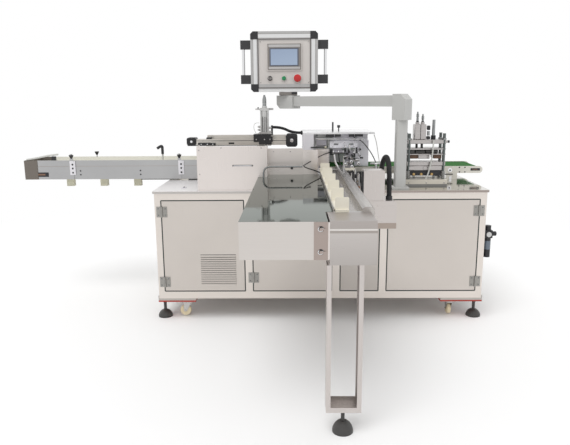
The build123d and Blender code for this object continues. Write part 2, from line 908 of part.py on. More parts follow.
def hood_top():
    top = fillet(block(hood_x, (hood_front, hood_back), hood_z).edges().filter_by(Axis.Z), 6)
    knob_low = hood_z[1] + hood_knob_stem
    top += upright(hood_pin_x, hood_pin_y, (hood_z[1], hood_z[1] + hood_pin_height), 12)
    top += upright(hood_knob_x, hood_pin_y, (hood_z[1], knob_low), 8)
    top += upright(hood_knob_x, hood_pin_y, (knob_low, knob_low + hood_knob_height), 22)
    return top


def bag_mouth():
    box = block(mouth_x, mouth_y, mouth_z)
    inner = block(
        (mouth_x[0] + mouth_sheet, mouth_x[1] - mouth_sheet),
        (mouth_y[0] - 1, mouth_y[1] + 1),
        (mouth_z[0] + mouth_sheet, mouth_z[1] - mouth_sheet),
    )
    hanger_x = (mouth_x[0] + 20, mouth_x[1] - 20)
    hanger = block(hanger_x, (mouth_y[1] - 30, mouth_y[1]), (mouth_z[1], hood_z[0]))
    return box - inner + hanger


def station_cross():
    bar = block(cross_x, cross_y, cross_z)
    for x in (cross_x[0] + 45, cross_x[1] - 45):
        bar -= slot_y(x, (cross_z[0] + cross_z[1]) / 2, cross_y, 34, 12)
    hanger_x = (cross_x[0] + 20, cross_x[1] - 20)
    hanger = block(hanger_x, (cross_y[1] - 12, cross_y[1]), (cross_z[1], hood_z[0]))
    return bar + hanger


def side_block():
    plate = block(side_block_x, side_block_y, side_block_z)
    hanger = block((side_block_x[0] + 10, side_block_x[1] - 10), side_block_y, (side_block_z[1], hood_z[0]))
    return plate + hanger


def grip_jaw():
    y = cross_y[0] + 10
    jaw = rod_x(jaw_x, y, jaw_z, jaw_d)
    jaw += block((jaw_x[0] + 20, jaw_x[1] - 20), (y - 8, y + 20), (jaw_z, cross_z[0]))
    return jaw


def station_table():
    table = block(station_table_x, station_table_y, (station_table_top - 12, station_table_top))
    post_x = (station_table_x[0] + 16, station_table_x[1] - 16)
    table += block(post_x, (450, 490), (top_height, station_table_top - 12))
    return table


def valve_bank():
    x0 = station_table_x[0]
    y = (455, 485)
    bank = block((x0 + 8, x0 + 64), y, (station_table_top, cross_z[0] - 16))
    for row in range(3):
        z = station_table_top + 28 + row * 32
        for column in range(2):
            x = x0 + 22 + column * 28
            bank += rod_y(x, (y[0] - 14, y[0]), z, 16)
    return bank


# Green belt conveyor

def green_belt():
    width = belt_y[1] - belt_y[0]
    belt = loop_solid(belt_x[0], belt_x[1], belt_top - belt_half, belt_half, belt_thick, width)
    return Pos(0, belt_y[0], 0) * belt


def belt_frame():
    plates = []
    middle = (side_z[0] + side_z[1]) / 2
    for y in ((side_y[0], side_y[0] + side_sheet), (side_y[1] - side_sheet, side_y[1])):
        length = side_x[1] - side_x[0]
        plate = block((side_x[0], side_x[1] - 25), y, side_z)
        plate += rod_y(side_x[1] - 25, y, middle, side_z[1] - side_z[0])
        plate -= slot_y(side_x[1] - 45, middle, y, 46, 10)
        for x in side_foot_x:
            plate += block((x - side_foot_width / 2, x + side_foot_width / 2), y, (top_height, side_z[0]))
        plates.append(plate)
    return group(plates)


# Press station

press_span_x = (press_x[0] - press_margin, press_x[1] + press_margin)
press_span_y = (press_y[0] - press_margin, press_y[1] + press_margin)


def at_columns(z, d):
    return [upright(x, y, z, d) for x in press_x for y in press_y]


def press_base():
    base_x = (press_span_x[0] - 4, press_span_x[1] + 4)
    base_y = (press_span_y[0] - 20, press_span_y[1] + 20)
    base = block(base_x, base_y, press_base_z)
    return fillet(base.edges().filter_by(Axis.Z), 5)


def press_columns():
    return group(at_columns((press_base_z[1], column_top), column_d))


def press_anvil():
    anvil = block((press_span_x[0] + 4, press_span_x[1] - 4), press_span_y, anvil_z)
    anvil = anvil + at_columns((press_base_z[1], anvil_z[0]), column_d + 12)
    return anvil - at_columns((press_base_z[1] - 1, anvil_z[1] + 1), column_d + 2 * fit)


def press_head():
    plate = block(press_span_x, press_span_y, press_plate_z)
    plate = plate - at_columns((press_plate_z[0] - 1, press_plate_z[1] + 1), column_d + 2 * fit)
    y = (press_y[0] + press_y[1]) / 2
    half = press_cylinder / 2
    x = press_cylinder_x
    head = plate + block((x - half, x + half), (y - half, y + half), (press_plate_z[1], press_cylinder_top))
    for rod, reach in zip(press_rod_x, press_rod_reach):
        head += upright(rod, y, (press_cylinder_top, press_cylinder_top + reach), column_d)
    stop_z = (press_plate_z[1], press_plate_z[1] + press_stop_height)
    head += upright(press_stop_x, y, stop_z, press_stop_d)
    knob_x = (press_span_x[1], press_span_x[1] + press_knob_reach)
    head += rod_x(knob_x, y, press_plate_z[0] + 12, press_knob_d)
    bore = upright(x, y, (press_plate_z[0] - 1, press_cylinder_top - 20), piston_d + 2)
    return head - bore


def press_platen():
    plate = block(press_span_x, press_span_y, platen_z)
    jaw_span_x = (press_span_x[0] + 40, press_span_x[1] - 40)
    jaw_span_y = (press_y[0] + 22, press_y[1] - 22)
    jaws = block(jaw_span_x, jaw_span_y, (jaw_bottom, platen_z[0]))
    y = (press_y[0] + press_y[1]) / 2
    piston = upright(press_cylinder_x, y, (platen_z[1], press_plate_z[1] + 30), piston_d)
    platen = plate + jaws + piston
    return platen - at_columns((platen_z[0] - 1, platen_z[1] + 1), column_d + 2 * fit)


# Pole, arm and control panel

def support_arm():
    half = pole_w / 2
    pole = block((pole_x - half, pole_x + half), (pole_y - half, pole_y + half), (top_height, elbow_z[0]))
    pole = fillet(pole.edges().filter_by(Axis.Z), 8)
    wide = pole_flange / 2
    flange_z = (top_height, top_height + pole_flange_thick)
    pole += block((pole_x - wide, pole_x + wide), (pole_y - wide, pole_y + wide), flange_z)
    reach = math.hypot(neck_x - pole_x, neck_y - pole_y)
    turn = math.degrees(math.atan2(neck_y - pole_y, neck_x - pole_x))
    side = elbow_w / 2
    elbow = block((-side, side), (-side, side), elbow_z)
    corner = elbow.edges().filter_by(Axis.Y).group_by(Axis.Z)[-1].sort_by(Axis.X)[0]
    elbow = chamfer(corner, elbow_cut)
    tube = block((side, reach - neck_w / 2), (-arm_w / 2, arm_w / 2), arm_z)
    neck = block((reach - neck_w / 2, reach + neck_w / 2), (-side, side), neck_z)
    low = neck.edges().filter_by(Axis.Y).group_by(Axis.Z)[0].sort_by(Axis.X)[-1]
    neck = chamfer(low, 30)
    arm = elbow + tube + neck
    return pole + Pos(pole_x, pole_y, 0) * Rot(0, 0, turn) * arm


def panel_coupling():
    low = neck_z[1] + fit
    return upright(neck_x, neck_y, (low, panel_z[0]), coupling_d)


def octagon(x, z, cut):
    return [
        (x[0] + cut, z[0]), (x[1] - cut, z[0]), (x[1], z[0] + cut), (x[1], z[1] - cut),
        (x[1] - cut, z[1]), (x[0] + cut, z[1]), (x[0], z[1] - cut), (x[0], z[0] + cut),
    ]


def panel_box():
    outline = octagon(panel_x, panel_z, 18)
    box = prism_y(outline, panel_y)
    return box - block(face_x, (panel_y[0] - 1, panel_y[0] + 8), face_z)


def panel_corners():
    cover = prism_y(octagon(panel_x, panel_z, 18), (panel_y[0] - 3, panel_y[0]))
    pieces = []
    for x in (panel_x[0], panel_x[1] - panel_edge):
        for z in (panel_z[0], panel_z[1] - panel_edge):
            window = block((x, x + panel_edge), (panel_y[0] - 4, panel_y[0] + 1), (z, z + panel_edge))
            pieces.append(cover & window)
    return group(pieces)


def panel_face():
    plate = block(face_x, (panel_y[0] + 4, panel_y[0] + 8), face_z)
    bezel = block(bezel_x, (panel_y[0] - 6, panel_y[0] + 4), bezel_z)
    bezel = fillet(bezel.edges().filter_by(Axis.Y), 6)
    recess = block(screen_x, (panel_y[0] - 7, panel_y[0] - 2), screen_z)
    return plate + bezel - recess


def panel_screen():
    return block(screen_x, (panel_y[0] - 4, panel_y[0] - 2), screen_z)


def panel_buttons():
    face = panel_y[0] + 4
    shapes = []
    for x, size, proud in zip(button_x, (22, 24, 34), (22, 12, 26)):
        ring = rod_y(x, (face - 5, face), button_z, size + 8)
        shapes.append(ring + rod_y(x, (face - proud, face - 5), button_z, size))
    return shapes


def panel_handles():
    handles = []
    middle = (panel_y[0] + panel_y[1]) / 2
    for x, side in zip(handle_x, (panel_x[0], panel_x[1])):
        outer = x + (-20 if x < side else 19)
        for low, high in (handle_block_z[0:2], handle_block_z[2:4]):
            span = sorted((outer, side))
            piece = block(span, (middle - 18, middle + 18), (low, high))
            handles.append(piece)
    bars = []
    for index, x in enumerate(handle_x):
        bar = upright(x, middle, (handle_block_z[1], handle_block_z[2]), handle_d)
        bars.append(handles[2 * index] + handles[2 * index + 1] + bar)
    return group(bars)


# Filter regulator and the hose of the transfer axis

def filter_regulator():
    side = body_x[1]
    y = (regulator_y[0] + regulator_y[1]) / 2
    face = side + regulator_plate
    x = (face + regulator_x_end) / 2
    plate_y = (regulator_y[0] - regulator_margin, regulator_y[1] + regulator_margin)
    shape = block((side, face), plate_y, (regulator_z[0] - 20, regulator_z[1] + 20))
    shape += block((face, regulator_x_end), regulator_y, regulator_z)
    shape += upright(x, y, (regulator_z[1], regulator_z[1] + regulator_knob_height), regulator_knob_d)
    shape += upright(x, y, (regulator_bowl_low, regulator_z[0]), regulator_bowl_d)
    port_x = (regulator_x_end, regulator_x_end + regulator_port_reach)
    shape += rod_x(port_x, y, (regulator_z[0] + regulator_z[1]) / 2, 30)
    return shape


hose_y = 728
hose_points = [
    (-322, hose_y, hood_z[0] + 40),
    (-258, hose_y, hood_z[0] + 40),
    (-176, hose_y, hood_z[0] - 2),
    (hood_x[0] - 12, hose_y, hood_z[0] - 2),
]


def hose_glands():
    start = Vector(*hose_points[0])
    left = block((start.X - 14, start.X), (hose_y - 14, hose_y + 14), (axis_cover_top, start.Z + 14))
    end = hose_points[-1]
    right = rod_x((end[0], hood_x[0]), end[1], end[2], hose_d + 12)
    return [left, right]


def main():
    os.makedirs("parts", exist_ok=True)
    save(worktop(), "worktop")
    save(cabinet_sides(), "cabinet_sides")
    save(cabinet_back() + cabinet_floor(), "cabinet_back")
    save(front_rails(), "front_rails")
    save(front_posts(), "front_posts")
    save(fixed_panel(), "fixed_panel")
    high = (hinge_low_z, hinge_high_z)
    low = (hinge_low_z + 29, low_hinge_high_z)
    save(louvres(door(door_left_x, door_z, -1, high)), "door_left")
    save(door(door_middle_x, (door_z[0], low_door_top), -1, low), "door_middle")
    save(door(door_right_x, door_z, 1, high), "door_right")
    save(frame_hinges(), "frame_hinges")
    save(base_bars(), "base_bars")
    save(levelling_feet(), "levelling_feet")
    for number, (place, turn) in enumerate(caster_places(), 1):
        save(placed(caster_fork(), place, turn), f"caster_fork_{number}")
        save(placed(caster_wheel(), place, turn), f"caster_wheel_{number}")
    save(deck() + deck_bracket(), "deck")
    save(lane_end(), "lane_end")
    save(lane_channel(), "lane_channel")
    save(flight_chain(), "flight_chain")
    save(leg_frame(), "leg_frame")
    save(drive_box(), "drive_box")
    save(valve_cover(), "valve_cover")
    save(group([hose(conduit_points, conduit_d), hose(hose_points, hose_d)]), "hoses")
    save(group(conduit_glands() + hose_glands()), "hose_glands")
    save(infeed_sides(), "infeed_sides")
    save(infeed_bed(), "infeed_bed")
    save(infeed_chain(), "infeed_chain")
    save(conveyor_rollers(), "conveyor_rollers")
    save(feeder_guard(), "feeder_guard")
    save(group([recess_wall(), guide_bar()]), "recess_wall")
    save(transfer_beam(), "transfer_beam")
    save(transfer_ends(), "transfer_ends")
    save(transfer_carriage(), "transfer_carriage")
    save(lift_cylinder(), "lift_cylinder")
    save(station_frame(), "station_frame")
    save(hood_top(), "hood_top")
    save(bag_mouth(), "bag_mouth")
    save(group([station_cross(), side_block()]), "hanging_plates")
    save(group([grip_jaw(), valve_bank()]), "valve_bank")
    save(station_table(), "station_table")
    save(green_belt(), "green_belt")
    save(belt_frame(), "belt_frame")
    save(press_base(), "press_base")
    save(press_columns(), "press_columns")
    save(press_anvil(), "press_anvil")
    save(press_head(), "press_head")
    save(press_platen(), "press_platen")
    save(support_arm(), "support_arm")
    save(panel_box() + panel_coupling(), "panel_box")
    save(panel_corners(), "panel_corners")
    save(panel_face(), "panel_face")
    save(group([panel_screen()] + panel_buttons()), "panel_controls")
    save(panel_handles(), "panel_handles")
    save(filter_regulator(), "filter_regulator")


main()
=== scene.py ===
# %% [markdown]
# # A bagging machine, dressed for its portrait
# The construction comes ready made: cabinet, conveyors, press, pole and panel are solids at their
# real size. This script gives them their finishes, adds the small things that are too fine for the
# construction, and lights the whole like a catalogue picture.

import math

import bmesh
import bpy
import numpy as np
from mathutils import Matrix, Vector


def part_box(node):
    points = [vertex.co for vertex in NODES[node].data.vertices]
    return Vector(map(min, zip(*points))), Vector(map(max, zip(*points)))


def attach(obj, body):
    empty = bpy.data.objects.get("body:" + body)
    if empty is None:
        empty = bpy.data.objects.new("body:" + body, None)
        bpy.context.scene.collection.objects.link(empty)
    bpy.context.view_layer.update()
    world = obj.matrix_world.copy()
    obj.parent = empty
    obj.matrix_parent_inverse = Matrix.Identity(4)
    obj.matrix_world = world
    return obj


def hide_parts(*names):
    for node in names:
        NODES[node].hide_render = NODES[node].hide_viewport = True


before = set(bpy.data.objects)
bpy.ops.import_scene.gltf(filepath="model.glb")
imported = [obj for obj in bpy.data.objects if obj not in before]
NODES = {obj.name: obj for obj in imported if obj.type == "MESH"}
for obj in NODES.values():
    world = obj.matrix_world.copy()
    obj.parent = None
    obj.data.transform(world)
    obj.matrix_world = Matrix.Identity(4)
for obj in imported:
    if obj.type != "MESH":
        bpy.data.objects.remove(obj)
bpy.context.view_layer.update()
MM = 0.001

# %% [markdown]
# ## One set of coordinates
# The machine is easiest to think about from the front edge of its worktop: X from the middle of the
# cabinet, Y into the picture, Z from the floor, in millimetres. The worktop's own box says where
# that point lies in the stored frame, so every place below can be given the way a fitter would.

# %% Machine coordinates
low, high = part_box("worktop")
ZERO = Vector(((low.x + high.x) / 2, low.y, 0))


def places(points):
    """Millimetres from the middle of the worktop's front edge, turned into metres of the frame."""
    return np.asarray(points, float) * MM + np.array(ZERO)


def machine_box(node):
    """A node's lowest and highest corners, turned the other way, into the machine's millimetres."""
    return [(corner - ZERO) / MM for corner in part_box(node)]


print("cabinet length", round(machine_box("worktop")[1].x * 2))

# %% [markdown]
# ## The camera
# The picture was taken from a little above the worktop, slightly left of the middle, with a short
# telephoto. Its place and its three turns were worked out from the cabinet's corners. Building the
# camera's axes from yaw, pitch and roll keeps each number readable.

# %% Camera
EYE = (-171.6, -3702.75, 1455.05)
YAW, PITCH, ROLL = (math.radians(a) for a in (-0.84, 11.91, -0.41))
FOCAL_PX, PICTURE_WIDTH, SENSOR = 584.88, 570, 36.0

ahead = math.cos(PITCH)
forward = Vector((math.sin(YAW) * ahead, math.cos(YAW) * ahead, -math.sin(PITCH)))
level = Vector((math.cos(YAW), -math.sin(YAW), 0))
above = level.cross(forward)
right = math.cos(ROLL) * level + math.sin(ROLL) * above
up = -math.sin(ROLL) * level + math.cos(ROLL) * above
camera = bpy.data.objects.new("camera", bpy.data.cameras.new("camera"))
camera.data.sensor_width = SENSOR
camera.data.lens = FOCAL_PX / PICTURE_WIDTH * SENSOR
camera.data.clip_end = 200
turn = Matrix((right, up, -forward)).transposed().to_4x4()
camera.matrix_world = Matrix.Translation(Vector(places(EYE))) @ turn
bpy.context.scene.collection.objects.link(camera)
bpy.context.scene.camera = camera
print("lens", round(camera.data.lens, 2))

# %% [markdown]
# ## Writing a shader as a sum
# Node graphs are quick to draw and slow to read. A small class wraps an output socket, and the
# usual operators then add the Math nodes, so a finish can be written as an expression. One method
# makes every other kind of node, and the few kinds that come back often have a short name.

# %% Shader language
class Wire:
    """One number or colour on its way through a material."""

    def __init__(self, graph, socket):
        self.graph, self.socket = graph, socket

    def __add__(self, other):
        return self.graph.math("ADD", self, other)

    def __sub__(self, other):
        return self.graph.math("SUBTRACT", self, other)

    def __rsub__(self, other):
        return self.graph.math("SUBTRACT", other, self)

    def __mul__(self, other):
        return self.graph.math("MULTIPLY", self, other)

    def __gt__(self, other):
        return self.graph.math("GREATER_THAN", self, other)

    def __lt__(self, other):
        return self.graph.math("LESS_THAN", self, other)

    __radd__ = __add__
    __rmul__ = __mul__

    def within(self, low, high):
        """1 between the two levels, 0 outside them."""
        return (self > low) * (self < high)


def opaque(colour):
    """A colour gets its fourth number; a wire or a single number goes through as it is."""
    return (*colour, 1) if isinstance(colour, tuple) else colour


def shade(tone, k):
    """The tone made k times as light, and never above white."""
    return tuple(min(1.0, c * k) for c in tone)


class Graph:
    """A material, or the world, and the nodes that make it."""

    def __init__(self, name, kind="materials"):
        self.owner = getattr(bpy.data, kind).new(name)
        self.owner.use_nodes = True
        self.tree = self.owner.node_tree
        self.tree.nodes.clear()

    def add(self, kind, settings=None, sockets=None, out=0):
        """A node of any kind: its settings first, then a value or a wire for each socket."""
        node = self.tree.nodes.new(kind)
        for key, value in (settings or {}).items():
            setattr(node, key, value)
        for key, value in (sockets or {}).items():
            if isinstance(value, Wire):
                self.tree.links.new(value.socket, node.inputs[key])
            else:
                node.inputs[key].default_value = value
        return Wire(self, node.outputs[out])

    def math(self, operation, first, second=0.0):
        return self.add("ShaderNodeMath", {"operation": operation}, {0: first, 1: second})

    def axis(self, name):
        """X, Y or Z of a point of the surface, in the machine's own millimetres."""
        point = self.add("ShaderNodeTexCoord", out="Object")
        sockets = {"Vector": point, "Location": tuple(-ZERO / MM), "Scale": (1 / MM,) * 3}
        moved = self.add("ShaderNodeMapping", {}, sockets)
        return self.add("ShaderNodeSeparateXYZ", {}, {"Vector": moved}, out=name)

    def ramp(self, value, start, end, kind="LINEAR"):
        """0 up to the start, 1 from the end on, and a climb between them."""
        sockets = {"Value": value, "From Min": start, "From Max": end}
        return self.add("ShaderNodeMapRange", {"interpolation_type": kind}, sockets)

    def stretched(self, scale=(1, 1, 1)):
        point = self.add("ShaderNodeTexCoord", out="Object")
        return self.add("ShaderNodeMapping", {}, {"Vector": point, "Scale": scale})

    def noise(self, scale, stretch=(1, 1, 1), detail=3.0, rough=0.5):
        """Clouds between 0 and 1; a large stretch along an axis makes them narrow that way."""
        vector = self.stretched(stretch)
        sockets = {"Vector": vector, "Scale": scale, "Detail": detail, "Roughness": rough}
        return self.add("ShaderNodeTexNoise", {}, sockets)

    def blend(self, factor, first, second):
        """The first colour where factor is 0, the second where it is 1."""
        sockets = {0: factor, 6: opaque(first), 7: opaque(second)}
        return self.add("ShaderNodeMix", {"data_type": "RGBA"}, sockets, out=2)

    def bump(self, height, distance, strength=1.0):
        sockets = {"Height": height, "Distance": distance, "Strength": strength}
        return self.add("ShaderNodeBump", {}, sockets)

    def surface(self, colour, roughness, metallic=0.0, normal=None, **plain):
        """The shader itself; plain holds more of its sockets, by name."""
        sockets = {"Base Color": colour, "Roughness": roughness, "Metallic": metallic}
        if normal is not None:
            sockets["Normal"] = normal
        sockets.update({key.replace("_", " "): value for key, value in plain.items()})
        sockets = {key: opaque(value) for key, value in sockets.items()}
        return self.end(self.add("ShaderNodeBsdfPrincipled", {}, sockets))

    def end(self, shader, kind="ShaderNodeOutputMaterial"):
        """Link the shader to the output, and give back what the nodes belong to."""
        output = self.tree.nodes.new(kind)
        self.tree.links.new(shader.socket, output.inputs["Surface"])
        return self.owner


# %% [markdown]
# ## Stainless sheet
# The housings are satin stainless steel: the rolling mill leaves fine parallel scratches, which
# stretch every highlight across them. A noise that is squeezed hard along two axes and left long
# along the third gives that grain. A second, slow noise moves the tone a little, as handling does.
# Polished sheet has no grain to show, so a faint long ripple and a few hazy wipes take its place.

# %% Brushed and polished steel
GRAIN = {"X": (3, 420, 420), "Y": (420, 3, 420), "Z": (420, 420, 3)}
CABINET = (0.60, 0.555, 0.515)
HOUSING = (0.62, 0.575, 0.55)


def scratches(g, along="X"):
    return g.noise(1.0, GRAIN[along], 2.0)


def clouds(g):
    return g.noise(2.2, detail=4.0)


def wipes(g):
    return g.noise(14.0, (1, 3, 1), 4.0, 0.6)


def satin(g, colour, roughness, metallic, grain):
    """Every satin steel ends alike: the scratches that move its gloss are its bump too."""
    return g.surface(colour, roughness, metallic, g.bump(grain, 0.00003, 0.5))


def rippled(g, depth, strength):
    """The bump of polished sheet, which is never quite flat."""
    return g.bump(g.noise(1.6, detail=1.0), depth, strength)


def brushed(name, tone, along, rough, metallic=0.85):
    """Grain = noise squeezed across its length; tone and roughness both follow it."""
    g = Graph(name)
    grain = scratches(g, along)
    smudge = g.noise(9.0, detail=5.0, rough=0.6)
    worn = g.blend(clouds(g), shade(tone, 0.90), shade(tone, 1.06))
    colour = g.blend(grain * 0.3, worn, shade(tone, 1.12))
    return satin(g, colour, rough - 0.06 + grain * 0.12 + smudge * 0.08, metallic, grain)


def mirror(name, tone, rough):
    """Polished sheet: nearly flat, with a faint long ripple and a few hazy wipes."""
    g = Graph(name)
    wipe = wipes(g)
    colour = g.blend(wipe, shade(tone, 0.95), shade(tone, 1.04))
    return g.surface(colour, rough + wipe * 0.05, 1.0, rippled(g, 0.0006, 0.6))


steel_x = brushed("satin_steel_along_x", CABINET, "X", 0.32)
steel_z = brushed("satin_steel_along_z", CABINET, "Z", 0.32)
# painted shade: the fixed panel takes a darker copy of the cabinet steel, 0.85 of its tone
fixed_steel_shaded = brushed("fixed_panel_steel_shaded", shade(CABINET, 0.85), "X", 0.32)
housing_x = brushed("warm_steel_along_x", shade(HOUSING, 0.92), "X", 0.26)
housing_z = brushed("warm_steel_along_z", shade(HOUSING, 0.93), "Z", 0.26)
guard_steel = brushed("guard_steel", shade(HOUSING, 1.17), "Z", 0.26)
wall_steel = brushed("wall_steel", shade(HOUSING, 1.2), "X", 0.26)
hinge_steel = brushed("hinge_steel", (0.34, 0.33, 0.31), "Z", 0.25)
strip_steel = brushed("drive_box_strip", (0.38, 0.32, 0.28), "X", 0.3)
beam_steel = brushed("lane_beam_steel", (0.50, 0.475, 0.45), "Y", 0.2)
plate_steel = brushed("press_plate_steel", (0.47, 0.445, 0.435), "X", 0.25)
turned = brushed("turned_steel", (0.52, 0.51, 0.50), "Z", 0.22, 1.0)
dark_ground = mirror("ground_dark_steel", (0.30, 0.31, 0.31), 0.14)
# painted reflection: the columns' dark tone stands for the dark room the ground steel mirrors
column_steel = mirror("ground_column_steel", (0.13, 0.145, 0.14), 0.18)
chrome = mirror("bright_chrome", (0.75, 0.75, 0.76), 0.05)
print("steels ready")

# %% [markdown]
# ## The cabinet's front frame
# The doors close against a steel frame whose inner edges carry a black sealing strip. Frame and
# strip are one solid in the construction, so the finish tells them apart by depth: steel on the
# face, rubber on all that lies further in.

# %% Frame finish
STEP_BEHIND_FACE = 0.6


def sealed(name, along):
    """Steel where Y is less than the face's Y plus a small step, black strip everywhere else."""
    g = Graph(name)
    deep = g.axis("Y") > machine_box("front_posts")[0].y + STEP_BEHIND_FACE
    grain = scratches(g, along)
    # painted light: the frame's steel is a lighter copy of the cabinet steel, 1.14 to 1.28 of its tone
    steel = g.blend(clouds(g), shade(CABINET, 1.14), shade(CABINET, 1.28))
    colour = g.blend(deep, steel, (0.012, 0.014, 0.013))
    return satin(g, colour, 0.28 + grain * 0.12 + deep * 0.3, 0.85 - deep * 0.85, grain)


seal_x = sealed("frame_rail_steel", "X")
seal_z = sealed("frame_post_steel", "Z")
print("frame finish ready")

# %% [markdown]
# ## The doors
# A door is one folded sheet with hinge leaves screwed on, and the left one has a field of louvres.
# The leaves stand proud of the face, so depth finds them. The louvres repeat at a steady pitch, so
# the fraction of height over pitch says how far up its hood a point lies. Each hood is painted
# darker towards its top, painted shade, and the slit above it is painted near black, painted shadow.

# %% Door finish
DOOR_FACE = 9.5
LOUVRES_X, LOUVRES_Z = (-784, -550), (248.5, 460.5)
LOUVRE_FOOT, LOUVRE_PITCH, SLIT_FROM = 249, 15, 0.72


def door_finish():
    """Share = fraction of (Z - foot) / pitch; a louvre darkens with it in painted shade, and ends in its
    slit, painted black as shadow.
    """
    g = Graph("door_steel")
    x, y, z = (g.axis(name) for name in "XYZ")
    proud = y < DOOR_FACE
    field = x.within(*LOUVRES_X) * z.within(*LOUVRES_Z)
    share = g.math("FRACT", (z - LOUVRE_FOOT) * (1 / LOUVRE_PITCH))
    slit = field * (share > SLIT_FROM)
    grain = scratches(g)
    sheet = g.blend(clouds(g), shade(CABINET, 0.93), shade(CABINET, 1.08))
    leaf = g.blend(grain, (0.27, 0.26, 0.24), (0.36, 0.35, 0.33))
    # painted shade: each louvre's hood goes from light at its foot to darker at its top
    hood = g.blend(share, shade(CABINET, 1.02), shade(CABINET, 0.78))
    # painted shadow: the slit between hoods is near black and loses its metal
    louvres = g.blend(slit, hood, (0.10, 0.095, 0.09))
    colour = g.blend(field, g.blend(proud, sheet, leaf), louvres)
    return satin(g, colour, 0.27 + grain * 0.12, 0.85 - slit * 0.7, grain)


door_steel = door_finish()
print("door finish ready")

# %% [markdown]
# ## Worktop and lane
# The worktop is satin to the left, where products are handled, and polished under the press and the
# belt, where it is painted darker, a painted reflection of the press and belt above it; its folded
# front edge is painted darker than its top, painted shade. The lane's deck is a dark mirror, its dark
# tone and cool specular tint a painted reflection of dark surroundings, with a satin skirt folded
# down from it, and the sheet that closes the lane's end has a crease across its upper part, drawn in
# bands of painted shade with a painted highlight on the crease. Each change of finish follows a
# height or a length, which a shader reads from the place of the point itself.

# %% Worktop, deck and lane end
WORKTOP_EDGE, DECK_EDGE = 879.3, 965.2
SATIN_TO, POLISHED_FROM = 150, 420
STRIP_FROM_X, STRIP_TO_Y = -88.5, -1368.4
FOLD, CREASE, UPPER = 916, 927, 934


def worktop_finish():
    """Share climbs from 0 at the left to 1 at the right, and the top darkens with it, a painted
    reflection of the press and belt; the folded edge below is darker, painted shade.
    """
    g = Graph("worktop_sheet")
    share = g.ramp(g.axis("X"), SATIN_TO, POLISHED_FROM)
    # painted reflection: the polished right half is darker, for the press and belt it mirrors
    top = g.blend(share, (0.92, 0.90, 0.895), (0.62, 0.60, 0.56))
    # painted shade: the folded front edge is darker than the top, and darker still on the right
    edge = g.blend(share, (0.50, 0.475, 0.455), (0.36, 0.31, 0.285))
    colour = g.blend(g.axis("Z") < WORKTOP_EDGE, top, edge)
    roughness = 0.42 - share * 0.36 + wipes(g) * 0.05
    return g.surface(colour, roughness, 0.7 + share * 0.3, rippled(g, 0.0005, 0.5))


def deck_finish():
    """Dark mirror on the flat top, its dark tone and cool specular tint a painted reflection of dark
    surroundings, satin steel on the skirt below it, told apart by height.
    """
    g = Graph("dark_polished_deck")
    top = g.axis("Z") > DECK_EDGE
    strip = (g.axis("X") > STRIP_FROM_X) * (g.axis("Y") < STRIP_TO_Y)
    wipe = wipes(g)
    skirt = g.blend(scratches(g), (0.60, 0.565, 0.535), (0.66, 0.62, 0.59))
    skirt = g.blend(strip, skirt, (0.40, 0.335, 0.305))
    # painted reflection: the plate's dark tone stands for the dark room the polished deck mirrors
    plate = g.blend(wipe, (0.165, 0.17, 0.165), (0.195, 0.20, 0.195))
    roughness = 0.30 - top * 0.27 + wipe * 0.03
    return g.surface(g.blend(top, skirt, plate), roughness, 0.95, rippled(g, 0.0008, 0.7),
                     Specular_Tint=(0.72, 0.75, 0.72))


def lane_end_finish():
    """Cooler sheet that pales upwards, then painted shade on the fold, a painted highlight on the crease
    and painted shade on the upper band.
    """
    g = Graph("lane_end_steel")
    z = g.axis("Z")
    grain = scratches(g)
    sheet = g.blend(g.ramp(z, 790, 930), (0.45, 0.42, 0.40), (0.55, 0.515, 0.495))
    # painted shade: the dark band along the fold
    folded = g.blend(z.within(FOLD, CREASE), sheet, (0.38, 0.345, 0.32))
    # painted shade: the darker upper band beyond the crease
    shaded_bands = g.blend(z > UPPER, folded, (0.42, 0.385, 0.365))
    # painted highlight: the bright band on the crease
    colour = g.blend(z.within(CREASE, UPPER), shaded_bands, (0.72, 0.69, 0.66))
    return satin(g, colour, 0.24 + grain * 0.12, 0.85, grain)


worktop_steel = worktop_finish()
deck_steel = deck_finish()
lane_end_steel = lane_end_finish()
print("worktop and lane finishes ready")

# %% [markdown]
# ## Extrusions
# The transfer rail and the panel's frame are extruded profiles. Their slots are a few millimetres
# wide, and the carriage runs close in front of the rail, so the slots are drawn as dark bands of
# painted shade instead of being cut. The bands of the panel's frame, a painted highlight, a thin line
# of painted shade and a dark seam, follow its outline on all four sides, which a distance to the
# nearest edge gives at once.

# %% Rail and panel profile
SLOT_Z = (1157, 1160.5)
POCKET_X, POCKET_Z = (-645, -604), (1133.5, 1146.5)
BAY_X, BAY_Z = (-872, -778), (1128, 1146)
GROOVE_SHADE, BRIGHT, SEAM = (16, 18.5), (20, 44), (50.5, 57.5)


def rail_finish():
    """Warm extrusion with a T-slot, a sensor pocket below it and the bay of the left end, all painted
    black as the shade in their hollows.
    """
    g = Graph("warm_rail_extrusion")
    x, z = g.axis("X"), g.axis("Z")
    pocket = x.within(*POCKET_X) * z.within(*POCKET_Z)
    bay = x.within(*BAY_X) * z.within(*BAY_Z)
    # painted shade: black in the slot, the pocket and the bay, for the shade inside them
    dark = g.math("MAXIMUM", g.math("MAXIMUM", z.within(*SLOT_Z), pocket), bay)
    grain = scratches(g)
    steel = g.blend(clouds(g), (0.56, 0.53, 0.49), (0.68, 0.65, 0.60))
    colour = g.blend(dark, steel, (0.02, 0.02, 0.02))
    return satin(g, colour, 0.30 + grain * 0.1, 0.8 - dark * 0.8, grain)


